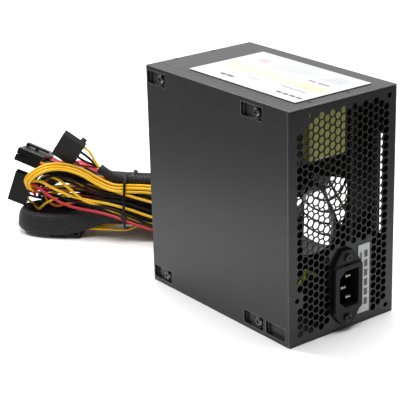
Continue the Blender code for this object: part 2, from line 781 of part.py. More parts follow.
def toroid(name, centre, axis, radius, thickness, look, rings=24, sides=8):
    profile = []
    for k in range(sides):
        a = 2 * math.pi * k / sides
        profile.append((radius + thickness * math.cos(a), thickness * 1.25 * math.sin(a)))
    smooth(node(name, turned(profile, facing(axis, centre), rings), look))


def electronics():
    circuit_board()
    heatsink("primary_heatsink", 0.050, (-0.058, 0.004), 0.003, 0.042, 7)
    heatsink("secondary_heatsink", 0.104, (-0.058, 0.004), 0.003, 0.042, 7)
    ferrite("main_transformer", -0.018, 0.076, (0.040, 0.033, 0.033), TAPE_YELLOW, 0.45)
    ferrite("standby_transformer", 0.022, 0.070, (0.019, 0.017, 0.017), TAPE_YELLOW, 0.45)
    for number, x in enumerate((-0.012, -0.037), 1):
        can(f"bulk_capacitor_{number}", x, 0.026, 0.0110, 0.036, CAPACITOR)
    for number, x in enumerate((-0.052, -0.038), 1):
        can(f"output_capacitor_{number}", x, 0.120, 0.0050, 0.022, CAPACITOR)
    toroid("output_choke", (-0.014, BOARD_TOP + 0.0092, 0.126), (0, 1, 0), 0.0105, 0.0045, COPPER)
    toroid("line_filter_choke", (0.024, BOARD_TOP + 0.0082, 0.034), (0, 1, 0), 0.0095, 0.0040, COPPER)
    x_low = (0.008, BOARD_TOP, 0.049)
    box = block(x_low, (0.034, BOARD_TOP + 0.016, 0.058))
    bmesh.ops.bevel(box, geom=box.edges, offset=0.0008, segments=1, affect="EDGES")
    node("x_capacitor", box, FILM)
    smooth(node("fuse", rod((0.032, BOARD_TOP + 0.003, 0.084), (0, 0, 1), 0.020, 0.0026, 12), GLASS))
    pfc_choke()
    earth_wire()


def pfc_choke():
    """The line choke hangs from the label side, close behind the rear panel, its taped coil facing it."""
    x_low, x_high = REAR_X - 0.041, REAR_X - 0.0095
    y_low, y_high = PLAIN_Y + 0.0226, FAN_FRONT - 0.0015
    z_low, z_high = 0.107, TOP_Z - SHEET - GAP
    limb, overhang, foot = 0.0034, 0.0085, 0.0030
    frame = block((x_low + overhang, y_low, z_low), (x_high - overhang, y_high, z_high))
    window = block((x_low, y_low + limb, z_low + limb), (x_high, y_high - limb, z_high - limb))
    feet = block((x_low + foot, y_low + 0.004, z_high - SHEET), (x_high - foot, y_high - 0.004, z_high))
    node("pfc_choke_core", joined(cut(frame, window), feet), GALVANISED)
    inset = limb + GAP
    low = (x_low + 0.001, y_low + inset, z_low + inset)
    coil = block(low, (x_high - 0.0005, y_high - inset, z_high - inset))
    bmesh.ops.bevel(coil, geom=coil.edges, offset=0.0015, segments=1, affect="EDGES")
    node("pfc_choke_coil", coil, TAPE_YELLOW)


# ---------------------------------------------------------------- wires and cables


def smooth_route(points, step):
    """Points about a step apart on a Catmull-Rom curve through the route's own points."""
    route = [Vector(p) for p in points]
    ends = [2 * route[0] - route[1], *route, 2 * route[-1] - route[-2]]
    made = []
    for a, b, c, d in zip(ends, ends[1:], ends[2:], ends[3:]):
        pieces = max(1, round((c - b).length / step))
        for k in range(pieces):
            t = k / pieces
            bend = (2 * a - 5 * b + 4 * c - d) * t**2 + (3 * b - a - 3 * c + d) * t**3
            made.append(0.5 * (2 * b + (c - a) * t + bend))
    return [*made, route[-1]]


def tube(name, points, radius, look, resolution=2):
    """A round tube along a smooth route, as a curve object with filled caps."""
    line = smooth_route(points, 5 * radius)
    curve = bpy.data.curves.new(name, "CURVE")
    curve.dimensions = "3D"
    curve.bevel_depth = radius
    curve.bevel_resolution = resolution
    curve.use_fill_caps = True
    spline = curve.splines.new("POLY")
    spline.points.add(len(line) - 1)
    for point, place in zip(spline.points, line):
        point.co = (*place, 1)
    curve.materials.append(finish_of(look))
    obj = bpy.data.objects.new(name, curve)
    bpy.context.collection.objects.link(obj)
    return obj


def earth_wire():
    """The earth wire, from its tab behind the inlet to its screw on the board."""
    back = REAR_X - PIN_BACK - 0.0014
    pin_y = INLET_Y - PIN_OFFSET
    route = (
        (back, pin_y, INLET_Z),
        (back - 0.004, pin_y - 0.003, INLET_Z + 0.002),
        (back - 0.001, pin_y - 0.010, INLET_Z + 0.006),
        (back + 0.006, pin_y - 0.017, INLET_Z + 0.006),
        (back + 0.007, pin_y - 0.025, INLET_Z + 0.002),
        (back + 0.002, BOARD_TOP + 0.006, INLET_Z - 0.004),
        (back - 0.001, BOARD_TOP + 0.0009, INLET_Z - 0.006),
    )
    tube("earth_wire", route, 0.0012, EARTH)


def hank_point(along, front, height):
    return HANK_START + HANK_ALONG * along + HANK_FRONT * front + Vector((0, 0, height))


def hank_matrix(centre, tilt):
    """A connector's placement: local X the way it mates, local Y towards the front, local Z up."""
    x = HANK_ALONG * math.cos(tilt) + Vector((0, 0, math.sin(tilt)))
    z = -HANK_ALONG * math.sin(tilt) + Vector((0, 0, math.cos(tilt)))
    y = z.cross(x)
    return Matrix.Translation(hank_point(*centre)) @ Matrix((x, y, z)).transposed().to_4x4()


def cable_hank():
    """The folded cables as one solid: their outline from the side, extruded through their thickness."""
    outline = (
        (-0.040, 0.010),
        (-0.030, 0.0005),
        (0.040, 0.0005),
        (0.048, 0.0080),
        (0.092, 0.0080),
        (0.098, 0.0110),
        (0.098, 0.0170),
        (0.080, 0.0190),
        (0.079, 0.0400),
        (0.060, 0.0440),
        (0.030, HANK_TOP),
        (-0.024, HANK_TOP),
        (-0.032, 0.0380),
        (-0.041, 0.0260),
    )
    x, y = HANK_ALONG, Vector((0, 0, 1))
    place = Matrix.Translation(HANK_START) @ Matrix((x, y, x.cross(y))).transposed().to_4x4()
    low, high = (-depth for depth in HANK_THICK)
    solid = prism(outline, min(low, high), max(low, high), place)
    node("cable_hank", solid, SLEEVE)


def cable_ties():
    """Two ties over the folded cables, open underneath where the real strap is pressed into the wires."""
    width, thick = 0.0022, 0.0012
    top = HANK_TOP + GAP
    back, front = HANK_THICK[0] - GAP, HANK_THICK[1] + GAP
    for number, along in enumerate(TIES, 1):
        outer = block((-width / 2, back - thick, GAP / 2), (width / 2, front + thick, top + thick))
        inner = block((-width, back, -thick), (width, front, top))
        head = block((-0.0025, front + 0.0008, top - 0.006), (0.0025, front + 0.0045, top - 0.001))
        strap = joined(cut(outer, inner), head)
        node(f"cable_tie_{number}", strap, NYLON, hank_matrix((along, 0, 0), 0))


def pin_housing(name, circuits, place):
    """A two-row wire-to-wire housing with a socket for each circuit at its front; returns its height."""
    pitch = 0.0042
    long = circuits / 2 * pitch + 0.0008
    deep, tall = 0.0189, 0.0096
    shell = block((-deep / 2, -long / 2, -tall / 2), (deep / 2, long / 2, tall / 2))
    rib = block((-0.001, -0.0030, tall / 2 - 0.0003), (0.001, 0.0030, tall / 2 + 0.0012))
    edge = long / 2 + 0.001
    groove = block((deep / 2 - 0.0080, -edge, -0.0004), (deep / 2 + 0.001, edge, 0.0004))
    holes = []
    half = 0.0012
    for k in range(circuits // 2):
        y = (k + 0.5) * pitch - circuits / 4 * pitch
        for z in (-pitch / 2 - 0.0002, pitch / 2 + 0.0002):
            low = (deep / 2 - 0.006, y - half, z - half)
            holes.append(block(low, (deep / 2 + 0.001, y + half, z + half)))
    node(name, cut(joined(shell, rib), groove, *holes), BLACK_PLASTIC, place)
    return tall


def latch(name, half_width, place, tall):
    """The latch lever on its rib; its origin is on the pivot axis, along local Y."""
    lift = tall / 2 + LATCH_LIFT - 0.00015
    under, over = 0.00015, 0.00155
    lever = block((-0.0095, -half_width, under), (0.0085, half_width, over))
    hook = block((0.0062, -half_width, under - 0.0009), (0.0085, half_width, over))
    node(name, joined(lever, hook), BLACK_PLASTIC, place @ Matrix.Translation((0, 0, lift)))


def connectors():
    flat = Matrix.Rotation(math.radians(90), 4, "Z")
    on_edge = Matrix.Rotation(math.radians(90), 4, "X")
    main = hank_matrix((0.0939, -0.0307, 0.0498), math.radians(22)) @ Matrix.Rotation(MAIN_ROLL, 4, "X")
    tall = pin_housing("main_connector", 24, main)
    latch("main_latch", 0.0045, main, tall)
    cpu = hank_matrix((0.060, -0.0530, 0.0050), 0)
    pin_housing("cpu_connector", 8, cpu)
    latch("cpu_latch", 0.0032, cpu, tall)
    peripheral = hank_matrix((0.0596, -0.0065, 0.0658), math.radians(34))
    leaning = Matrix.Rotation(PERIPHERAL_LEAN, 4, "X")
    mate_housing("peripheral_connector", peripheral @ leaning @ on_edge)
    upright = hank_matrix((0.0997, -0.0120, 0.0320), math.radians(20))
    blade_housing("sata_connector_1", upright @ on_edge)
    blade_housing("sata_connector_2", hank_matrix((0.0640, -0.0020, 0.0038), 0) @ flat)


def mate_housing(name, place):
    """A four-way peripheral plug: a chamfered shell with four round sockets."""
    wide, thick, deep = 0.0212, 0.0078, 0.0175
    cut_corner = 0.0022
    outline = [
        (-wide / 2, -thick / 2),
        (wide / 2, -thick / 2),
        (wide / 2, thick / 2 - cut_corner),
        (wide / 2 - cut_corner, thick / 2),
        (-wide / 2 + cut_corner, thick / 2),
        (-wide / 2, thick / 2 - cut_corner),
    ]
    basis = Matrix(((0, 0, 1), (1, 0, 0), (0, 1, 0))).to_4x4()
    shell = prism(outline, -deep / 2, deep / 2, basis)
    low = (-deep / 2 + 0.001, -wide / 2 - 0.0008, -thick / 2 - 0.0007)
    collar = block(low, (-deep / 2 + 0.005, wide / 2 + 0.0008, thick / 2 + 0.0007))
    places = [0.00508 * (k - 1.5) for k in range(4)]
    sockets = [rod((deep / 2 - 0.008, y, 0), (1, 0, 0), 0.010, 0.0014, 10) for y in places]
    node(name, cut(joined(shell, collar), *sockets), BLACK_PLASTIC, place)


def blade_housing(name, place):
    """A drive power plug: a flat body with one L-shaped slot at its front."""
    wide, thick, deep = 0.0232, 0.0062, 0.0140
    shell = block((-deep / 2, -wide / 2, -thick / 2), (deep / 2, wide / 2, thick / 2))
    edge = wide / 2 - 0.0016
    mouth = (deep / 2 - 0.006, deep / 2 + 0.001)
    slot = block((mouth[0], -edge, -0.0008), (mouth[1], edge, 0.0008))
    foot = block((mouth[0], -edge, -0.0018), (mouth[1], -edge + 0.0018, 0.0008))
    node(name, cut(shell, joined(slot, foot)), BLACK_PLASTIC, place)


def cables():
    inside, outside = 0.0050, 0.0024
    profile = (
        (0.0114, -outside),
        (0.0165, -outside),
        (0.0175, -outside + 0.0008),
        (0.0175, -GAP),
        (GROMMET_HOLE - GAP, -GAP),
        (GROMMET_HOLE - GAP, inside),
        (0.0114, inside),
    )
    ring = turned(profile, facing((1, 0, 0), (CABLE_X, GROMMET_Y, GROMMET_Z)), 32)
    smooth(node("cable_grommet", ring, BLACK_PLASTIC))
    trunk = (
        (CABLE_X + 0.0055, GROMMET_Y, GROMMET_Z),
        (CABLE_X - 0.004, GROMMET_Y, GROMMET_Z),
        (CABLE_X - 0.0145, GROMMET_Y, GROMMET_Z - 0.002),
        (CABLE_X - 0.0235, GROMMET_Y, GROMMET_Z - 0.005),
    )
    tube("cable_trunk", trunk, TRUNK_RADIUS, SLEEVE, 3)
    cable_hank()
    cable_ties()
    connectors()
    for name, (radius, route) in LEADS.items():
        tube(name, [hank_point(*p) for p in route], radius, SLEEVE)


def main():
    clear_scene()
    chassis_shell()
    rear_panel()
    cover_shell()
    cover_screws()
    labels()
    inlet()
    fan_frame()
    fan_rotor()
    fan_guard()
    fan_screws()
    electronics()
    cables()


main()
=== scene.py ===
"""The looks of the power supply unit: camera, light, cables, perforated panel, labels and materials.

Metres, except where a name or a comment says millimetres. The case stands on the floor, with its
rear panel towards +X, its fan side towards +Y and its cable panel towards -X.
"""

import json
import math

import bmesh
import bpy
from mathutils import Matrix, Vector

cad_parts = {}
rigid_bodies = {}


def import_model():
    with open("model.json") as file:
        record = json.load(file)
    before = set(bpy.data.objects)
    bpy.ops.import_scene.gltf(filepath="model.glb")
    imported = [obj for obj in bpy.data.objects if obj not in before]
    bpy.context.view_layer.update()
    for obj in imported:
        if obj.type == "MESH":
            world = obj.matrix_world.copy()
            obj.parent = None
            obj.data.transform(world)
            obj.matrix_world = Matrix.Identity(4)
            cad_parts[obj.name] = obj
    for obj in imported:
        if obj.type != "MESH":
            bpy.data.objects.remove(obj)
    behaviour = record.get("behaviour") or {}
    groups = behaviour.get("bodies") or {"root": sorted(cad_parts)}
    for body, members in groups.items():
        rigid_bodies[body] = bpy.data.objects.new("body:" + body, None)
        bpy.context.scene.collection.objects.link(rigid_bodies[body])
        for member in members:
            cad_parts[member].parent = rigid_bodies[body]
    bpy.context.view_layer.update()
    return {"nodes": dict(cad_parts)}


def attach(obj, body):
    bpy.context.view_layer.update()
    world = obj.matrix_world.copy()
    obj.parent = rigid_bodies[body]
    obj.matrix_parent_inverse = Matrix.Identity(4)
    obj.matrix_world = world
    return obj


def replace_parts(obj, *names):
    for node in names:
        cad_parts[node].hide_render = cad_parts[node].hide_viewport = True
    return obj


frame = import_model()
NODES = frame["nodes"]
BODY = "unit"

# The case, as in part.py.
PLAIN_Y = -0.045
REAR_X = 0.06775
TOP_Z = 0.150
CASE_HALF_WIDTH = 0.043
SHEET = 0.0008
INLET_Y, INLET_Z = -0.0005, 0.029

# The line that the folded cables lie along.
HANK_START = Vector((-0.1313, -0.005, 0.0))
HANK_ANGLE = math.radians(222)
HANK_ALONG = Vector((math.cos(HANK_ANGLE), math.sin(HANK_ANGLE), 0))
HANK_FRONT = Vector((-HANK_ALONG.y, HANK_ALONG.x, 0))
MM = 0.001
WIRE = 0.0021
THIN_WIRE = 0.0018


# ---------------------------------------------------------------- camera and light


def link(obj):
    bpy.context.collection.objects.link(obj)
    return obj


def camera():
    """A long lens from the front right and a little above, with a slight roll."""
    azimuth, elevation, roll = math.radians(53.12), math.radians(20.52), math.radians(-1.60)
    stand = (0.65748, -0.55212, 0.38859)
    back = Vector(
        (
            math.sin(azimuth) * math.cos(elevation),
            -math.cos(azimuth) * math.cos(elevation),
            math.sin(elevation),
        )
    )
    right = Vector((0, 0, 1)).cross(back).normalized()
    up = back.cross(right)
    x = math.cos(roll) * right + math.sin(roll) * up
    y = -math.sin(roll) * right + math.cos(roll) * up
    data = bpy.data.cameras.new("camera")
    data.lens = 128.46
    data.sensor_width = 36
    obj = link(bpy.data.objects.new("camera", data))
    obj.matrix_world = Matrix.Translation(stand) @ Matrix((x, y, back)).transposed().to_4x4()
    bpy.context.scene.camera = obj


def plain_colours():
    """Shows colours as the materials give them, with no contrast curve: a white floor stays white."""
    bpy.context.scene.view_settings.view_transform = "Standard"


def floor():
    """Pale paper round the object whose colour darkens to both sides, a painted falloff of the light, so
    the glossy case reflects some dark.
    """
    half = 6.0
    across_way, depth_way = (0.6, 0.8, 0), (-0.8, 0.6, 0)
    bright, dark = (0.90, 0.90, 0.90), (0.27, 0.27, 0.27)
    painted_pool_until, painted_falloff_from, widening = 0.155, 0.34, -0.17
    mesh = bpy.data.meshes.new("floor")
    corners = [(-half, -half, 0), (half, -half, 0), (half, half, 0), (-half, half, 0)]
    mesh.from_pydata(corners, [], [(0, 1, 2, 3)])
    obj = link(bpy.data.objects.new("floor", mesh))
    made, nodes, links, shader = fresh_material("floor_paper_painted_falloff", bright, 0.9)
    place = nodes.new("ShaderNodeTexCoord").outputs["Object"]
    across = maths(nodes, links, "ABSOLUTE", along_way(nodes, links, place, across_way))
    depth = maths(nodes, links, "ABSOLUTE", along_way(nodes, links, place, depth_way))
    # The fade from pale to dark towards the sides is painted light falloff, not the paper's own colour.
    fade = nodes.new("ShaderNodeMapRange")
    fade.interpolation_type = "SMOOTHSTEP"
    fade.inputs["From Min"].default_value = painted_pool_until
    fade.inputs["From Max"].default_value = painted_falloff_from
    links.new(maths(nodes, links, "MULTIPLY_ADD", depth, widening, across), fade.inputs["Value"])
    links.new(blend(nodes, links, fade.outputs["Result"], bright, dark), shader.inputs["Base Color"])
    mesh.materials.append(made)


def area_light(name, place, target, size, power):
    """A square lamp of one size in metres and one power in watts, turned towards a target."""
    data = bpy.data.lights.new(name, "AREA")
    data.shape = "RECTANGLE"
    data.size = data.size_y = size
    data.energy = power
    obj = link(bpy.data.objects.new(name, data))
    way = Vector(target) - Vector(place)
    obj.matrix_world = Matrix.Translation(place) @ way.to_track_quat("-Z", "Y").to_matrix().to_4x4()


def lighting():
    """A bright backdrop behind the object's left, a large lamp above and three small ones."""
    backdrop_way = (-0.75, 0.56, 0.35)
    world = bpy.data.worlds.new("studio")
    world.use_nodes = True
    nodes, links = world.node_tree.nodes, world.node_tree.links
    sky = nodes["Background"]
    place = nodes.new("ShaderNodeTexCoord").outputs["Generated"]
    facing = maths(nodes, links, "MULTIPLY_ADD", along_way(nodes, links, place, backdrop_way), 0.5, 0.5)
    ramp = nodes.new("ShaderNodeValToRGB")
    dark, bright = ramp.color_ramp.elements
    dark.position, dark.color = 0.60, (0.05, 0.05, 0.052, 1)
    bright.position, bright.color = 0.84, (1, 1, 1, 1)
    links.new(facing, ramp.inputs["Fac"])
    links.new(ramp.outputs["Color"], sky.inputs["Color"])
    sky.inputs["Strength"].default_value = 1.0
    bpy.context.scene.world = world
    area_light("key", place=(0.20, -0.06, 1.9), target=(0, 0, 0), size=1.15, power=37)
    area_light("edge", place=(-0.98, -0.50, 0.88), target=(0, -0.045, 0.15), size=0.22, power=7.5)
    area_light("backdrop", place=(-0.70, 0.52, 1.2), target=(-0.70, 0.52, 0), size=0.9, power=8)
    area_light("fill", place=(0.75, -0.85, 0.55), target=(0, 0, 0.08), size=0.5, power=0.8)


# ---------------------------------------------------------------- materials


def fresh_material(name, colour, roughness, metallic=0.0):
    made = bpy.data.materials.new(name)
    made.use_nodes = True
    nodes, links = made.node_tree.nodes, made.node_tree.links
    shader = nodes["Principled BSDF"]
    shader.inputs["Base Color"].default_value = (*colour, 1)
    shader.inputs["Roughness"].default_value = roughness
    shader.inputs["Metallic"].default_value = metallic
    return made, nodes, links, shader


def maths(nodes, links, operation, *values):
    """A maths node fed with numbers or with other nodes' outputs."""
    made = nodes.new("ShaderNodeMath")
    made.operation = operation
    for socket, value in zip(made.inputs, values):
        if isinstance(value, float):
            socket.default_value = value
        else:
            links.new(value, socket)
    return made.outputs[0]


def along_way(nodes, links, point, way):
    """How far a point lies along a direction."""
    made = nodes.new("ShaderNodeVectorMath")
    made.operation = "DOT_PRODUCT"
    made.inputs[1].default_value = way
    links.new(point, made.inputs[0])
    return made.outputs["Value"]


def blend(nodes, links, factor, low, high):
    """A colour between two, by a factor from 0 to 1."""
    made = nodes.new("ShaderNodeMix")
    made.data_type = "RGBA"
    made.inputs["A"].default_value = (*low, 1)
    made.inputs["B"].default_value = (*high, 1)
    links.new(factor, made.inputs["Factor"])
    return made.outputs["Result"]


def noise(nodes, links, scale, detail, stretch=(1, 1, 1)):
    place = nodes.new("ShaderNodeTexCoord")
    size = nodes.new("ShaderNodeMapping")
    size.inputs["Scale"].default_value = stretch
    made = nodes.new("ShaderNodeTexNoise")
    made.inputs["Scale"].default_value = scale
    made.inputs["Detail"].default_value = detail
    links.new(place.outputs["Object"], size.inputs["Vector"])
    links.new(size.outputs["Vector"], made.inputs["Vector"])
    return made.outputs["Fac"]


def bump(nodes, links, shader, height, strength, distance):
    made = nodes.new("ShaderNodeBump")
    made.inputs["Strength"].default_value = strength
    made.inputs["Distance"].default_value = distance
    links.new(height, made.inputs["Height"])
    links.new(made.outputs["Normal"], shader.inputs["Normal"])


def spread(nodes, links, value, low, high):
    """Maps the middle half of a noise, where most of it lies, to low..high."""
    made = nodes.new("ShaderNodeMapRange")
    made.inputs["From Min"].default_value = 0.25
    made.inputs["From Max"].default_value = 0.75
    made.inputs["To Min"].default_value = low
    made.inputs["To Max"].default_value = high
    links.new(value, made.inputs["Value"])
    return made.outputs["Result"]


def surface(name, colour, roughness, metallic, grain, depth, vary, tint, stretch=(1, 1, 1), gloss=0.5):
    """A finish with fine grain in its bump, and slow changes in its roughness and colour.

    grain is the noise's scale per metre and depth the bump's in metres. vary and tint are the
    shares by which the roughness and the colour change.
    """
    made, nodes, links, shader = fresh_material(name, colour, roughness, metallic)
    shader.inputs["Specular IOR Level"].default_value = gloss
    bump(nodes, links, shader, noise(nodes, links, grain, 2.0, stretch), 0.6, depth)
    broad = noise(nodes, links, grain / 14, 4.0)
    rough = spread(nodes, links, broad, roughness * (1 - vary), roughness * (1 + vary))
    links.new(rough, shader.inputs["Roughness"])
    darker = [c * (1 - tint) for c in colour]
    lighter = [min(1, c * (1 + tint)) for c in colour]
    links.new(blend(nodes, links, broad, darker, lighter), shader.inputs["Base Color"])
    return made


BRAID_SCALE = 160


def braid_material(name, colour):
    """Braided sleeving: crossing yarns in the bump and the colour, from the sleeve's UV in metres; the
    darker gaps between the yarns are painted shade.
    """
    made, nodes, links, shader = fresh_material(name, colour, 0.5)
    shader.inputs["Specular IOR Level"].default_value = 0.2
    place = nodes.new("ShaderNodeUVMap")
    waves = []
    for turn in (45, -45):
        size = nodes.new("ShaderNodeMapping")
        size.inputs["Rotation"].default_value = (0, 0, math.radians(turn))
        wave = nodes.new("ShaderNodeTexWave")
        wave.inputs["Scale"].default_value = BRAID_SCALE
        links.new(place.outputs["UV"], size.inputs["Vector"])
        links.new(size.outputs["Vector"], wave.inputs["Vector"])
        waves.append(wave.outputs["Fac"])
    yarns = maths(nodes, links, "MAXIMUM", *waves)
    # The gaps between the yarns are darkened to 12% of the yarn colour: painted shade.
    between = [c * 0.12 for c in colour]
    links.new(blend(nodes, links, yarns, between, colour), shader.inputs["Base Color"])
    bump(nodes, links, shader, yarns, 0.7, 0.0004)
    return made


def wire_material(name, colour):
    """Insulation: the bright colours are a little glossier than the dark ones."""
    gloss = 0.4 if max(colour) > 0.3 else 0.16
    return surface(f"wire_{name}", colour, 0.34, 0.0, 700, 0.00002, 0.15, 0.10, gloss=gloss)


WIRE_COLOURS = {
    "yellow": (0.93, 0.52, 0.008),
    "black": (0.006, 0.006, 0.0065),
    "red": (0.50, 0.010, 0.018),
    "orange": (0.85, 0.20, 0.015),
    "purple": (0.06, 0.012, 0.09),
    "blue": (0.015, 0.025, 0.16),
    "grey": (0.07, 0.07, 0.075),
    "green": (0.02, 0.16, 0.04),
    "white": (0.75, 0.75, 0.72),
}


# ---------------------------------------------------------------- mesh helpers


def mesh_object(name, bm, looks=()):
    mesh = bpy.data.meshes.new(name)
    bm.to_mesh(mesh)
    bm.free()
    for look in looks:
        mesh.materials.append(look)
    return link(bpy.data.objects.new(name, mesh))


def from_bmesh(name, bm, looks, smooth=True):
    """A piece of the unit made from a bmesh, riding on the case."""
    bmesh.ops.recalc_face_normals(bm, faces=bm.faces)
    obj = mesh_object(name, bm, looks)
    if smooth:
        obj.data.shade_smooth()
        obj.data.set_sharp_from_angle(angle=math.radians(38))
    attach(obj, BODY)
    return obj


def add_box(bm, low, high, place=None):
    size = [b - a for a, b in zip(low, high)]
    middle = [(a + b) / 2 for a, b in zip(low, high)]
    matrix = Matrix.Translation(middle) @ Matrix.Diagonal((*size, 1))
    bmesh.ops.create_cube(bm, size=1, matrix=matrix if place is None else place @ matrix)


def rounded(obj, width, look=None, clamp=True):
    """A bevel along the sharp edges of a piece, for the bright line that a real edge shows; a look given
    for the bevel's faces is a painted highlight along the edge.
    """
    # The triangles of a solid don't share their corners, so they are joined before the bevel.
    joined = obj.modifiers.new("joined", "WELD")
    joined.merge_threshold = 1e-6
    edge = obj.modifiers.new("edges", "BEVEL")
    edge.width = width
    edge.segments = 2
    edge.limit_method = "ANGLE"
    edge.angle_limit = math.radians(32)
    edge.harden_normals = False
    edge.use_clamp_overlap = clamp
    # A lighter finish on the bevel's faces is a painted highlight along the edge.
    if look is not None:
        edge.material = len(obj.data.materials)
        obj.data.materials.append(look)
    return obj


def at(along, front, height):
    """A point of the cable bundle: millimetres along it, to its front and up."""
    return HANK_START + (HANK_ALONG * along + HANK_FRONT * front + Vector((0, 0, height))) * MM


def catmull(points, step=0.003):
    """A smooth line through points, with its own points about one step apart."""
    route = [Vector(p) for p in points]
    ends = [2 * route[0] - route[1], *route, 2 * route[-1] - route[-2]]
    made = []
    for a, b, c, d in zip(ends, ends[1:], ends[2:], ends[3:]):
        # Centripetal spacing keeps the curve smooth where its points are unevenly spaced.
        gaps = [max((q - p).length, 1e-6) ** 0.5 for p, q in ((a, b), (b, c), (c, d))]
        t1, t2 = gaps[0], gaps[0] + gaps[1]
        t3 = t2 + gaps[2]
        pieces = max(1, round((c - b).length / step))
        for k in range(pieces):
            t = t1 + (t2 - t1) * k / pieces
            ab = a * (t1 - t) / t1 + b * t / t1
            bc = b * (t2 - t) / (t2 - t1) + c * (t - t1) / (t2 - t1)
            cd = c * (t3 - t) / (t3 - t2) + d * (t - t2) / (t3 - t2)
            abc = ab * (t2 - t) / t2 + bc * t / t2
            bcd = bc * (t3 - t) / (t3 - t1) + cd * (t - t1) / (t3 - t1)
            made.append(abc * (t2 - t) / (t2 - t1) + bcd * (t - t1) / (t2 - t1))
    return [*made, route[-1]]


def frames(points):
    """A steady side and up direction at each point of a line, without twist."""
    made = []
    up = Vector((0, 0, 1))
    for k in range(len(points)):
        ahead = points[min(k + 1, len(points) - 1)] - points[max(k - 1, 0)]
        ahead.normalize()
        side = ahead.cross(up)
        if side.length < 1e-6:
            side = ahead.orthogonal()
        side.normalize()
        up = side.cross(ahead).normalized()
        made.append((side, up))
    return made


def sweep(bm, points, section, uv, slot=0):
    """Sweeps a closed section, given as (side, up) pairs, along a line and caps its ends."""
    rings = []
    for p, (side, up) in zip(points, frames(points)):
        rings.append([bm.verts.new(p + side * x + up * y) for x, y in section])
    count = len(section)
    edges = [0.0]
    for a, b in zip(section, (*section[1:], section[0])):
        edges.append(edges[-1] + math.dist(a, b))
    run = 0.0
    for k, (a, b) in enumerate(zip(rings, rings[1:])):
        ahead = (points[k + 1] - points[k]).length
        for j in range(count):
            i = (j + 1) % count
            face = bm.faces.new((a[j], a[i], b[i], b[j]))
            face.material_index = slot
            face.smooth = True
            corners = ((run, j), (run, j + 1), (run + ahead, j + 1), (run + ahead, j))
            for loop, (u, v) in zip(face.loops, corners):
                loop[uv].uv = (u, edges[v])
        run += ahead
    for ring in (rings[0], rings[-1]):
        bm.faces.new(ring).material_index = slot


def circle(radius, sides):
    turns = [2 * math.pi * k / sides for k in range(sides)]
    return [(radius * math.cos(a), radius * math.sin(a)) for a in turns]


# ---------------------------------------------------------------- cables

GROMMET = (-0.0723, 0.021, 0.030)
PIN_PITCH = 4.2  # between the wires of a two-row housing, in millimetres
PLUG_PITCH = 5.08  # between the wires of the four-way plug, in millimetres
TWIN_HALF = 0.00112  # from the middle of a pair of wires to each wire
TWIN_SPLAY = 0.00115  # how much further apart the two are in the connector


def mouth(y, z, out=0.0):
    """A point in the mouth of the grommet: millimetres across and up from its middle, and out of it."""
    return Vector((GROMMET[0] - out * MM, GROMMET[1] + y * MM, GROMMET[2] + z * MM))


def leaving(y, z):
    """The first stretch of a cord, straight out through the grommet."""
    return [mouth(y, z, -5), mouth(y, z, 1), mouth(y, z, 8)]


def declared(obj):
    """Attaches an object to the unit's body."""
    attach(obj, BODY)
    return obj


def wire(name, colour, points, diameter=WIRE):
    """One insulated wire along given points."""
    line = catmull(points)
    curve = bpy.data.curves.new(name, "CURVE")
    curve.dimensions = "3D"
    curve.bevel_depth = diameter / 2
    curve.bevel_resolution = 3
    curve.use_fill_caps = True
    spline = curve.splines.new("POLY")
    spline.points.add(len(line) - 1)
    for point, place in zip(spline.points, line):
        point.co = (*place, 1)
    curve.materials.append(WIRES[colour])
    obj = link(bpy.data.objects.new(name, curve))
    return declared(obj)


def sleeve(name, points, section):
    """A braided sleeve of any section."""
    line = catmull(points)
    bm = bmesh.new()
    sweep(bm, line, section, bm.loops.layers.uv.new("UVMap"))
    return declared(mesh_object(name, bm, [SLEEVE]))


def twin(name, colours, points):
    """Two wires that run one above the other, and part where they enter the connector's two rows."""
    line = catmull(points)
    turns = frames(line)
    bm = bmesh.new()
    uv = bm.loops.layers.uv.new("UVMap")
    count = len(line)
    for row, side in enumerate((1, -1)):
        shifted = []
        for k, (p, (_, up)) in enumerate(zip(line, turns)):
            near = max(0.0, (k - 0.86 * count) / (0.14 * count))
            shifted.append(p + up * side * (TWIN_HALF + TWIN_SPLAY * near))
        sweep(bm, shifted, circle(WIRE / 2, 8), uv, slot=row)
    obj = mesh_object(name, bm, [WIRES[colour] for colour in colours])
    return declared(obj)


def flat_section(thick, tall, sides=24):
    """A flattened tube's section, standing on its edge: a circle with its sides pressed flat."""
    made = []
    for x, y in circle(1, sides):
        flat_x = math.copysign(abs(x) ** 0.6, x)
        flat_y = math.copysign(abs(y) ** 0.8, y)
        made.append((thick / 2 * flat_x, tall / 2 * flat_y))
    return made


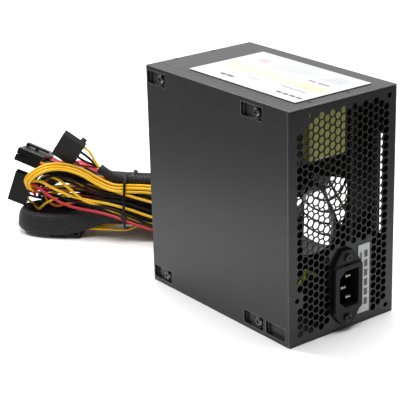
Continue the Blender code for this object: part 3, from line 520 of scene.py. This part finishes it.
def main_cable():
    """The flat sleeve, along the front, round the far end and back behind, then its paired wires."""
    points = [
        *leaving(-5, -1),
        mouth(-5, -3, 18),
        at(-32, -5, 18),
        at(-14, -5.5, 17.5),
        at(6, -5.5, 17.5),
        at(24, -5, 18),
        at(38, -3, 17.2),
        at(50, 0.6, 13.6),
        at(60, 2.8, 10.8),
        at(71, 3.4, 9.8),
        at(83, 2.6, 9.6),
        at(92.5, -0.8, 10),
        at(97.8, -7.4, 11.2),
        at(94.6, -13.2, 12.8),
        at(86, -17.0, 14.0),
        at(68, -19.5, 14.8),
        at(40, -26.5, 16),
        at(10, -27, 16.5),
        at(-10, -27, 16.5),
    ]
    sleeve("main_cable_sleeve", points, flat_section(0.0078, 0.0158))
    pairs = (
        ("orange", "orange"), ("orange", "blue"), ("black", "black"), ("red", "green"),
        ("black", "black"), ("red", "black"), ("black", "black"), ("grey", "white"),
        ("purple", "red"), ("yellow", "red"), ("yellow", "red"), ("orange", "black"),
    )  # fmt: skip
    for k, colours in enumerate(pairs):
        v = (5.5 - k) * PIN_PITCH
        end = (84.8 - 0.110 * v, -30.7 + 0.956 * v, 46.1 + 0.271 * v)
        column, layer = divmod(k, 2)
        n = -11.0 - 2.5 * column
        z = (40.2 if layer == 0 else 35.8) - 0.7 * column
        start_n = -24.4 - (k % 3) * 2.4
        start_z = 11.0 + (k // 3) * 3.8
        points = [
            at(6, start_n, start_z),
            at(-12, start_n, start_z),
            at(-26, start_n + 1, start_z + 0.5),
            at(-38, (start_n + n) / 2 + 1.5, (start_z + z) / 2),
            at(-26, n, z + 0.4),
            at(-8, n, z),
            at(14, n, z),
            at(32, n, z + 1.8),
            at(46, n + (end[1] - n) * 0.18, z + 2.8 + 0.3 * column),
            at(58, n + (end[1] - n) * 0.55, 45.2 + 0.35 * (end[2] - 46.1) + 0.6 * layer),
            at(69, n + (end[1] - n) * 0.88, end[2] - 1.0),
            at(end[0] - 7.0, end[1], end[2] - 2.7),
            at(end[0] + 0.5, end[1], end[2] + 0.2),
        ]
        twin(f"main_wires_{k + 1}", colours, points)


def processor_cable():
    """Four yellow and four black wires: an arc along the front, then two runs inside.

    Each arc's points are millimetres along the bundle, to its front and up, as at() takes them.
    """
    arcs = (
        ("yellow", ((-34, -2, 28), (-18, -1, 35), (1, 0, 38.8), (17, 0, 38.9), (27, 0, 38.8),
            (38, 0, 43), (51, 0, 50.2), (63, 0, 53.2), (76, 0, 52), (87, -0.5, 46), (92.5, -2, 39.5),
            (91.5, -6, 33))),
        ("yellow", ((-34, -2, 25.5), (-18, -1, 32.8), (1, 0.5, 36.4), (17, 0.6, 36.4), (27, 1.2, 37.0),
            (38, 1.5, 41.5), (51, 1.6, 48.8), (63, 1.6, 51.8), (75, 1.6, 50.7), (85, 1.2, 45.2),
            (90, -0.6, 39.2), (88.5, -5, 32.5))),
        ("yellow", ((-34, -4, 30), (-18, -3.6, 36.6), (1, -2.5, 40.2), (17, -2.4, 40.2),
            (27, -2.2, 40.4), (38, -2.2, 45), (51, -2.2, 51.8), (63, -2.2, 54.6), (76, -2.2, 53.6),
            (88, -2.8, 47.2), (94, -4.6, 40.6), (93, -8.6, 34))),
        ("yellow", ((-34, -1, 17), (-14, 0.6, 11.5), (0, 1.2, 12.5), (14, 1.4, 16.5), (28, 1.4, 21.6),
            (37, 1.6, 25), (45, 2.2, 27.5), (52, 2.4, 31.5), (60, 1.2, 38), (69, -1.6, 43.6),
            (78, -4.4, 44), (84, -8, 38.5))),
        ("black", ((-34, -5, 26), (-14, -4.5, 31), (4, -3.2, 35.5), (20, -3, 36.2), (36, -2.6, 38.2),
            (50, -2.6, 45.2), (62, -2.6, 48.6), (74, -3.2, 48.4), (84, -4.6, 44), (88.5, -8, 36.5))),
        ("black", ((-34, -5, 23), (-14, -3.2, 28), (4, -1.8, 32.5), (20, -1.2, 33.8), (36, -0.6, 35.4),
            (50, -0.6, 41), (62, -1, 45.2), (73, -2.0, 45.2), (82, -4.2, 40.6), (85.5, -8, 33.5))),
        ("black", ((-34, -7.5, 26), (-14, -6.8, 30.4), (4, -5.4, 34.5), (20, -5.2, 34.2),
            (36, -4.6, 36.2), (50, -4.4, 43.6), (62, -4.6, 47), (73, -5.4, 46.8), (82, -7.2, 42),
            (86.5, -10.5, 35))),
        ("black", ((-34, -4, 20), (-14, -2, 24.5), (4, -0.8, 29.2), (20, -0.6, 31.4), (34, -0.2, 32.6),
            (46, -0.6, 35.6), (58, -1.2, 40.8), (69, -2.6, 42), (78.5, -5.4, 38.4), (83, -9.6, 32))),
    )  # fmt: skip
    for k, (colour, front) in enumerate(arcs):
        lane, row = k % 4, k // 4
        n = -12.5 - 2.5 * lane
        z = 29.5 + 2.6 * row
        back_n = -14.5 - 2.5 * lane
        back_z = 1.7 + 2.4 * row
        pin = -53 + (lane - 1.5) * PIN_PITCH
        points = [
            *leaving(3.5 + 2.3 * (k % 3), -6.5 + 2.4 * (k // 3)),
            mouth(1.0 + 2.3 * (k % 3), -5.5 + 2.4 * (k // 3), 18),
            *[at(*p) for p in front],
            at(84 - lane, n, z + 7),
            at(74 - lane, n, z + 9),
            at(58, n, z + 8),
            at(30, n, z + 1),
            at(0, n, z),
            at(-24, n, z),
            at(-38 - row, (n + back_n) / 2 - 1, (z + back_z) / 2),
            at(-24, back_n, back_z + 0.6),
            at(-8, back_n - 2, back_z),
            at(10, back_n - 10, back_z),
            at(30, pin + 7, back_z + 0.3),
            at(42, pin, 4.8 + (2.2 if row else -2.2)),
            at(51.5, pin, 5 + (2.3 if row else -2.3)),
        ]
        wire(f"processor_wire_{k + 1}", colour, points)


def peripheral_cable():
    """A round sleeve that ends on top of the bundle, and its four wires to the four-way plug."""
    points = [
        *leaving(-1, 7.0),
        mouth(-2, 8, 16),
        at(-40, -6, 37),
        at(-26, -20, 36.5),
        at(-8, -31, 36),
        at(20, -33, 36),
        at(50, -33, 36.5),
        at(68, -32, 36),
        at(82, -27, 30),
        at(76, -20.5, 20),
        at(60, -19, 19),
        at(30, -19, 19),
        at(0, -19, 19),
        at(-22, -18, 20),
        at(-36, -13, 32),
        at(-26, -8, 41.6),
        at(-10, -6.8, 43.2),
        at(10, -6.5, 43.2),
        at(24, -6.5, 44.2),
        at(32, -6.5, 47.0),
        at(38, -6.5, 51.4),
    ]
    sleeve("peripheral_cable_sleeve", points, circle(0.0033, 16))
    for k, colour in enumerate(("yellow", "black", "black", "red")):
        w = 7.6 - PLUG_PITCH * k
        end = (52.35 - 0.540 * w, -6.5 + 0.259 * w, 60.9 + 0.801 * w)
        side = (1.5 - k) * 0.7
        points = [
            at(24, -6.5 + side, 44.6),
            at(31, -6.5 + side, 47.2),
            at(36.5, -6.5 + side, 50.6),
            at(41.2 - 0.1 * w, -6.5 + side * 0.7 + 0.08 * w, 53.6 + 0.3 * w),
            at(end[0] - 3.6, end[1], end[2] - 2.5),
            at(end[0] + 0.8, end[1], end[2] + 0.5),
        ]
        name = f"peripheral_wire_{k + 1}"
        wire(name, colour, points, THIN_WIRE)


def drive_cables():
    """Five wires to the drive plug on the floor, and five more from there to the last plug.

    The points are millimetres along the bundle, to its front and up, as at() takes them.
    """
    fronts = (
        ("yellow", ((-34, -2, 15), (-14, 0.4, 14.5), (0, 1.2, 18.2), (14, 1.6, 22.8), (28, 1.8, 26.4),
            (42, 1.6, 28.6), (57, 1.4, 31.4), (70, 1.2, 36.4), (82, -0.6, 41.6), (89, -4.5, 38.5),
            (89, -9.5, 32))),
        ("yellow", ((-34, -3, 22), (-14, -0.4, 26), (0, 0.8, 29.6), (18, 0.6, 34.2), (32, -1.8, 37.2),
            (46, -5, 38), (60, -6, 37), (74, -7.5, 35), (83, -10, 31.5))),
        ("red", ((-34, 0, 9), (-14, 2.2, 7.5), (0, 4.6, 9.8), (14, 5.4, 14.4), (28, 5.4, 19.4),
            (42, 5, 22.2), (54, 4.4, 23.8), (66, 3.4, 27.2), (78, 1.8, 33.8), (86, -0.4, 38.4),
            (91, -4.5, 37), (90.5, -9.5, 31))),
        ("black", ((-34, -4, 17.5), (-14, -1.6, 18.5), (2, -0.4, 22.6), (18, 0.0, 27.4),
            (34, 0.4, 29.6), (50, -0.6, 30.4), (64, -2.4, 32.6), (76, -4.6, 33.6), (84, -8.6, 30))),
        ("black", ((-34, 0, 11.6), (-14, 1.4, 9.6), (0, 3.0, 12.6), (14, 3.6, 18.6), (28, 3.4, 23.6),
            (42, 2.8, 25.4), (56, 1.8, 27.4), (70, -0.6, 30.4), (80, -4.6, 30.4), (86, -9.5, 27))),
    )  # fmt: skip
    for k, (colour, front) in enumerate(fronts):
        n = -13.8 - 2.4 * k if k < 4 else -14.6
        z = 26.4 if k < 4 else 23.4
        back_n = -12.0 - 1.1 * k
        back_z = 6.4 + (2.4 if k % 2 else 0)
        end = 64 + PIN_PITCH * (k - 2)
        points = [
            *leaving(2.5 + 2.3 * (k % 3), 2.0 + 2.5 * (k // 3)),
            mouth(0.5 + 2.3 * (k % 3), 0.5 + 2.5 * (k // 3), 18),
            *[at(*p) for p in front],
            at(84, n - 0.5, z - 1),
            at(75, n, z + 1.5),
            at(56, n, z + 4),
            at(26, n, z),
            at(-4, n, z),
            at(-26, n + 1, z - 0.5),
            at(-39, (n + back_n) / 2, (z + back_z) / 2),
            at(-26, back_n, back_z + 0.5),
            at(-4, back_n, back_z),
            at(24, back_n - 1.5, back_z),
            at(end - 16, -12.5 - 0.8 * k, 3.4),
            at(end - 5, -13.6, 3.5),
            at(end, -8.2, 3.8),
        ]
        wire(f"drive_wire_{k + 1}", colour, points)
    links = (
        ("yellow", ((57.0, -8.2, 3.8), (54.5, -12.4, 3.6), (50, -7.5, 3.6), (43, -1.2, 6),
            (30, -0.2, 6.4), (20, -2.5, 5.6), (12, -5.2, 8.4), (10.5, -6.6, 15.4), (18, -6.8, 21.8),
            (34, -6.4, 25.5), (50, -4.8, 29), (64, -3.2, 30), (78, -3.4, 24.4), (86, -6.6, 17.6),
            (91.0, -11.4, 19.4), (95.8, -12, 23))),
        ("black", ((61.0, -8.2, 3.8), (57, -13.2, 3.6), (46, -11, 6.5), (32, -7.5, 9), (18, -6.5, 9.5),
            (9.5, -7.6, 13), (10, -8.8, 20), (22, -9, 23), (42, -8.8, 25), (62, -8.6, 26),
            (76, -10, 26), (86, -12, 24.2), (94.4, -12, 26))),
        ("red", ((65.0, -8.2, 3.8), (61, -13.6, 4.4), (48, -10, 9.4), (37, -7.4, 11.4),
            (28, -6.8, 12.6), (22, -7.4, 16.4), (24, -8.2, 21.6), (34, -8.4, 26), (46, -7.6, 28.4),
            (62, -6.4, 30.4), (75, -4.6, 34.4), (83, -4.0, 34.8), (88.2, -5.0, 31.4),
            (88.4, -8.4, 27.6), (89.4, -11.4, 27.4), (93.4, -12, 29.6))),
        ("black", ((69.0, -8.2, 3.8), (65.5, -13.8, 5), (52, -11.5, 12), (38, -9.5, 14.6),
            (24, -9, 14.4), (16, -9.4, 17.5), (20, -10.6, 22.8), (38, -11, 27.6), (58, -10.6, 31.6),
            (72, -10.8, 33.6), (83, -12, 31.8), (92.4, -12, 33.4))),
        ("orange", ((72.6, -8.2, 3.8), (70.5, -13.6, 5.2), (60, -13, 13), (48, -10.4, 15.6),
            (34, -8, 13.4), (24, -7.4, 12.8), (18, -7.2, 17), (24, -6.8, 22), (42, -5.8, 24.2),
            (60, -4.6, 24.4), (72, -5.6, 21), (80, -8.8, 24.4), (82.4, -11.4, 30.5), (85, -12, 35.4),
            (90.8, -12, 37))),
    )  # fmt: skip
    for k, (colour, route) in enumerate(links):
        points = [at(*p) for p in route]
        wire(f"drive_link_wire_{k + 1}", colour, points, THIN_WIRE)


def strap(name, along, outline, head):
    """A nylon tie: a thin belt round the bundle, its head and its cut tail."""
    half_width, thick = HANK_ALONG * 0.0009, 0.0009
    points = [at(along, *p) for p in outline]
    loop = catmull([*points, points[0]], step=0.002)
    middle = sum(loop, Vector()) / len(loop)
    bm = bmesh.new()
    rings = []
    for k, p in enumerate(loop[:-1]):
        ahead = (loop[(k + 1) % (len(loop) - 1)] - loop[k - 1 if k else -2]).normalized()
        out = ahead.cross(HANK_ALONG).normalized()
        if out.dot(p - middle) < 0:
            out = -out
        corners = ((-1, 0), (1, 0), (1, thick), (-1, thick))
        rings.append([bm.verts.new(p + side * half_width + out * lift) for side, lift in corners])
    for a, b in zip(rings, (*rings[1:], rings[0])):
        for j in range(4):
            i = (j + 1) % 4
            bm.faces.new((a[j], a[i], b[i], b[j]))
    turned = Matrix((HANK_ALONG, HANK_FRONT, Vector((0, 0, 1)))).transposed().to_4x4()
    place = Matrix.Translation(at(along, *head)) @ turned
    add_box(bm, (-0.0018, -0.0006, -0.0020), (0.0018, 0.0026, 0.0020), place)
    add_box(bm, (-0.0009, 0.0006, 0.0018), (0.0009, 0.0012, 0.0055), place)
    obj = from_bmesh(name, bm, [NYLON], smooth=False)
    return rounded(obj, 0.0002)


def cables():
    """All cords and the two ties, and the plain CAD cables that they stand for."""
    main_cable()
    processor_cable()
    peripheral_cable()
    drive_cables()
    first = (
        (7.8, 15), (6.6, 26), (3.2, 36), (0.6, 43), (-6.5, 47.4), (-13, 42.8), (-20, 40.7), (-27, 39.8),
        (-34, 40.3), (-38, 36), (-35.5, 22), (-33, 6.5), (-20, 2), (-13, 3), (-4, 7.6), (4.6, 10.2),
    )  # fmt: skip
    second = (
        (5.6, 12), (4.6, 24), (1.6, 36), (-3, 44), (-8.5, 46.6), (-15, 43.5), (-27, 40.8),
        (-35, 36), (-33, 22), (-32, 8.5), (-20, 2), (-13, 3), (-4, 6.4), (3, 8.4),
    )  # fmt: skip
    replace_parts(strap("bundle_tie_1", along=18, outline=first, head=(7.6, 20)), "cable_tie_1")
    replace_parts(strap("bundle_tie_2", along=-18, outline=second, head=(5.4, 15)), "cable_tie_2")
    made = bpy.data.objects
    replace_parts(made["main_cable_sleeve"], "cable_hank", "cable_trunk")
    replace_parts(made["main_wires_1"], "main_lead")
    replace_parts(made["processor_wire_1"], "cpu_lead")
    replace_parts(made["peripheral_wire_1"], "peripheral_lead")
    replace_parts(made["drive_link_wire_1"], "sata_lead_1")
    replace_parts(made["drive_wire_1"], "sata_lead_2")


# ---------------------------------------------------------------- case

# The rear panel's perforation, and what it keeps clear of as (y from the middle, z, radius).
COLUMN_STEP = 0.00433
ROW_STEP = 0.005
HOLE_FLAT = 0.0042
FIRST_ROW, LOWEST_HOLE, HIGHEST_HOLE = 0.0075, 0.0070, 0.1432
SCREW_CLEARANCES = (
    (0.037, 0.144, 0.0066),
    (0.037, 0.006, 0.0066),
    (-0.037, 0.030, 0.0066),
    (-0.027, 0.144, 0.0062),
)


def hexagon(y, z):
    """The corners of one hole: a hexagon with its points to the sides and its corners eased."""
    reach = HOLE_FLAT / math.sqrt(3) * 0.955
    made = []
    for k in range(6):
        for ease in (-9, 9):
            turn = math.radians(60 * k) + math.radians(ease)
            made.append((y + reach * math.cos(turn), z + reach * math.sin(turn)))
    return made


def has_hole(y, z, column):
    """Whether the panel has a hole here; y is measured from the panel's middle."""
    slanted_top = 0.1335 + ROW_STEP / 2 * (column + 8)
    if not LOWEST_HOLE <= z <= HIGHEST_HOLE or z > slanted_top:
        return False
    if any(math.hypot(y - sy, z - sz) < keep for sy, sz, keep in SCREW_CLEARANCES):
        return False
    # Solid strips along the foot: in both corners and below the inlet.
    if z < 0.0085 and (-0.0150 < y < 0.0230 or abs(y) > 0.0350):
        return False
    if z < 0.0135 and -0.0120 < y < 0.0230:
        return False
    # Solid round the inlet.
    inlet_y = INLET_Y - PLAIN_Y - CASE_HALF_WIDTH
    return abs(z - INLET_Z) >= 0.0275 or not -0.0120 < y - inlet_y < 0.0225


def grille_holes():
    """The middles of the holes: upright columns, every second one half a step lower."""
    middle = PLAIN_Y + CASE_HALF_WIDTH
    made = []
    for column in range(-8, 9):
        y = column * COLUMN_STEP
        lower = ROW_STEP / 2 if column % 2 else 0
        heights = [FIRST_ROW + ROW_STEP * row - lower for row in range(29)]
        made += [(middle + y, z) for z in heights if has_hole(y, z, column)]
    return made


def punches():
    """One prism for each hole, right through the sheet."""
    bm = bmesh.new()
    for y, z in grille_holes():
        outline = hexagon(y, z)
        back = [bm.verts.new((REAR_X - 3 * SHEET, py, pz)) for py, pz in outline]
        front = [bm.verts.new((REAR_X + SHEET, py, pz)) for py, pz in outline]
        bm.faces.new(back[::-1])
        bm.faces.new(front)
        for j in range(len(outline)):
            i = (j + 1) % len(outline)
            bm.faces.new((back[j], back[i], front[i], front[j]))
    bmesh.ops.recalc_face_normals(bm, faces=bm.faces)
    return mesh_object("punches", bm)


def rear_grille():
    """The rear panel with its flanges, mounting holes and inlet window, and with its perforation."""
    panel = link(bpy.data.objects.new("rear_panel_grille", NODES["rear_panel"].data.copy()))
    tool = punches()
    cut = panel.modifiers.new("cut", "BOOLEAN")
    cut.operation = "DIFFERENCE"
    cut.solver = "EXACT"
    cut.object = tool
    graph = bpy.context.evaluated_depsgraph_get()
    graph.update()
    made = bpy.data.meshes.new_from_object(panel.evaluated_get(graph))
    panel.modifiers.clear()
    panel.data = made
    bpy.data.objects.remove(tool)
    made.materials.clear()
    made.materials.append(STEEL_BLACK)
    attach(panel, BODY)
    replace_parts(panel, "rear_panel")


def paint(look, *names):
    for name in names:
        for slot in NODES[name].material_slots:
            slot.material = look


def lock_marks():
    """The small pressed marks along the short edges of the top."""
    sides = 20
    places = ((0.0615, -0.0235), (0.0615, 0.0069), (-0.0702, -0.0220), (-0.0702, 0.0080))
    profile = ((0.0019, 0.00002), (0.0016, 0.00012), (0.0013, 0.00006))
    for number, (x, y) in enumerate(places, 1):
        bm = bmesh.new()
        rings = [
            [bm.verts.new((x + u, y + v, TOP_Z + height)) for u, v in circle(radius, sides)]
            for radius, height in profile
        ]
        for a, b in zip(rings, rings[1:]):
            for j in range(sides):
                i = (j + 1) % sides
                bm.faces.new((a[j], a[i], b[i], b[j]))
        # The near-black middle of each mark is painted shade, for the shadow in its hollow.
        bm.faces.new(rings[-1]).material_index = 1
        from_bmesh(f"lock_mark_{number}", bm, [STEEL_BLACK, PAINTED_HOLE_SHADE])


# A print lies just proud of its label, which stands proud of the panel.
PRINT_LOW, PRINT_HIGH = 0.00045, 0.00055


def plates(name, flat, marks, look):
    """Printed patches in millimetres; flat turns a mark's two spans into its box's corners."""
    bm = bmesh.new()
    for mark in marks:
        add_box(bm, *flat(*[v * MM for v in mark]))
    from_bmesh(name, bm, [look], smooth=False)


def on_top(x0, x1, y0, y1):
    return (x0, y0, TOP_Z + PRINT_LOW), (x1, y1, TOP_Z + PRINT_HIGH)


def on_rear(y0, y1, z0, z1):
    return (REAR_X + PRINT_LOW, y0, z0), (REAR_X + PRINT_HIGH, y1, z1)


def prints():
    """Plain bars in place of the printing: a pale band of cells, and rows that stand for lines of text."""
    cells = [(-36 + 7.2 * k, -31 + 7.2 * k, y, y + 3.6) for k in range(9) for y in (-4.2, -8.9)]
    plates("rating_band", on_top, [*cells, (29.5, 54, -8.4, 0.6)], INK_YELLOW)
    grey = [(-24, 26, 2.6, 3.0), (-4, 6, -16.4, -15.2), (25, 47, -14.6, -12.8)]
    grey += [(30 + 1.5 * k, 50 - 0.8 * k, 12.6 + 2.2 * k, 13.3 + 2.2 * k) for k in range(5)]
    grey += [(-16 + 2 * k, 14 + 3 * k, 9.4 + 2.6 * k, 10.0 + 2.6 * k) for k in range(5)]
    plates("rating_lines", on_top, grey, INK_GREY)
    dark = [(-22.5, -17.5, -24.2, -21.6), (-16.5, -10, -24.2, -21.6)]
    dark += [(27.5, 34, 5.2, 6.6), (36, 46, 5.2, 6.6)]
    dark += [(32 + 6 * k, 36.5 + 6 * k, -24.8, -22.6) for k in range(4)]
    plates("rating_marks", on_top, dark, INK_DARK)
    plates("rating_stamp", on_top, [(-30, -22, 12, 19)], INK_PINK)
    blocks = [(11.9, 13.3, 12, 48)] + [(15.4, 18.2, 12 + 6.4 * k, 16.6 + 6.4 * k) for k in range(6)]
    plates("sticker_bars", on_rear, blocks, INK_DARK)


# ---------------------------------------------------------------- main

# Each finish: name, colour, roughness, metallic, grain, depth, vary, tint and, for some, stretch and gloss.
STEEL_BLACK = surface(
    "black_powder_coat", (0.009, 0.009, 0.0094), 0.30, 0.0, 1100, 0.00004, 0.10, 0.10, gloss=0.42
)
# Lighter and half metallic, for the case's bevels: a painted highlight along the edges.
PAINTED_EDGE_HIGHLIGHT = surface("painted_edge_highlight", (0.15, 0.15, 0.155), 0.27, 0.5, 1100, 0.00003, 0.10, 0.10)
SCREW_STEEL = surface("dark_zinc_screws", (0.14, 0.14, 0.135), 0.24, 1.0, 500, 0.00002, 0.25, 0.06)
STEEL_BRIGHT = surface("zinc_plated_steel", (0.70, 0.70, 0.68), 0.24, 1.0, 500, 0.00002, 0.25, 0.06)
LAMINATIONS = surface("varnished_laminations", (0.035, 0.034, 0.032), 0.40, 0.3, 160, 0.00002, 0.25, 0.15)
BRASS = surface("plated_brass", (0.30, 0.28, 0.23), 0.26, 1.0, 500, 0.00001, 0.2, 0.05)
ALUMINIUM = surface("folded_aluminium", (0.62, 0.63, 0.64), 0.38, 1.0, 300, 0.00002, 0.2, 0.06, (1, 14, 1))
PLASTIC = surface(
    "moulded_black_plastic", (0.005, 0.005, 0.0054), 0.42, 0.0, 1500, 0.00004, 0.12, 0.15, gloss=0.2
)
FAN_PLASTIC = surface("fan_plastic", (0.006, 0.006, 0.0065), 0.45, 0.0, 900, 0.00002, 0.15, 0.15, gloss=0.3)
NYLON = surface("nylon_strap", (0.008, 0.008, 0.008), 0.38, 0.0, 600, 0.00002, 0.15, 0.1, gloss=0.25)
PAPER = surface("label_paper", (0.53, 0.54, 0.55), 0.42, 0.0, 300, 0.00001, 0.1, 0.02)
INK_YELLOW = surface("yellow_ink", (0.56, 0.53, 0.33), 0.45, 0.0, 300, 0.00001, 0.1, 0.03)
INK_GREY = surface("grey_ink", (0.30, 0.32, 0.33), 0.45, 0.0, 300, 0.00001, 0.1, 0.05)
INK_DARK = surface("dark_ink", (0.07, 0.07, 0.08), 0.45, 0.0, 300, 0.00001, 0.1, 0.08)
INK_PINK = surface("pink_ink", (0.50, 0.36, 0.37), 0.45, 0.0, 300, 0.00001, 0.1, 0.04)
BOARD = surface("board_laminate", (0.06, 0.16, 0.06), 0.42, 0.0, 250, 0.00003, 0.2, 0.3)
TAPE = surface("yellow_tape", (0.50, 0.50, 0.14), 0.38, 0.0, 250, 0.00004, 0.2, 0.12, (1, 1, 9))
CAPACITOR = surface("capacitor_sleeve", (0.03, 0.035, 0.05), 0.30, 0.0, 300, 0.00002, 0.15, 0.1)
FILM = surface("film_capacitor", (0.70, 0.50, 0.06), 0.36, 0.0, 300, 0.00002, 0.15, 0.08)
COPPER = surface("enamelled_copper", (0.62, 0.28, 0.10), 0.28, 0.9, 220, 0.0004, 0.2, 0.2)
GLASS = surface("fuse_glass", (0.70, 0.72, 0.70), 0.10, 0.0, 200, 0.00001, 0.2, 0.02)
EARTH = surface("earth_insulation", (0.50, 0.60, 0.04), 0.36, 0.0, 300, 0.00002, 0.2, 0.2)
# A near-black finish for painted shade in hollows.
PAINTED_HOLE_SHADE = surface("shadowed_hole", (0.004, 0.004, 0.004), 0.8, 0.0, 600, 0.00001, 0.1, 0.1)
SLEEVE = braid_material("braided_sleeving", (0.026, 0.026, 0.026))
WIRES = {name: wire_material(name, colour) for name, colour in WIRE_COLOURS.items()}

camera()
plain_colours()
cables()
floor()
lighting()

paint(STEEL_BLACK, "chassis_shell", "cover_shell", "inlet_screw_1", "inlet_screw_2")
paint(SCREW_STEEL, *(f"cover_screw_{k}" for k in range(1, 5)))
paint(STEEL_BRIGHT, "fan_guard", *(f"{kind}_screw_{k}" for kind in ("fan", "board") for k in range(1, 5)))
paint(PAPER, "rating_label", "voltage_label")
paint(PLASTIC, "inlet_housing", "cable_grommet", "peripheral_connector")
paint(PLASTIC, "sata_connector_1", "sata_connector_2")
paint(PLASTIC, "main_connector", "main_latch", "cpu_connector", "cpu_latch")
paint(FAN_PLASTIC, "fan_frame", "fan_rotor")
paint(BRASS, "inlet_pin_live", "inlet_pin_neutral", "inlet_pin_earth")
paint(BOARD, "circuit_board")
paint(ALUMINIUM, "primary_heatsink", "secondary_heatsink")
paint(LAMINATIONS, "pfc_choke_core")
paint(TAPE, "main_transformer", "standby_transformer", "pfc_choke_coil")
paint(CAPACITOR, *(f"{kind}_capacitor_{k}" for kind in ("bulk", "output") for k in (1, 2)))
paint(FILM, "x_capacitor")
paint(COPPER, "output_choke", "line_filter_choke")
paint(GLASS, "fuse")
paint(EARTH, "earth_wire")
# The case's bevels carry the lighter finish: a painted highlight along its edges.
rounded(NODES["chassis_shell"], 0.00035, look=PAINTED_EDGE_HIGHLIGHT, clamp=False)
rounded(NODES["cover_shell"], 0.00035, look=PAINTED_EDGE_HIGHLIGHT, clamp=False)
rounded(NODES["inlet_housing"], 0.0004)
rear_grille()
lock_marks()
prints()
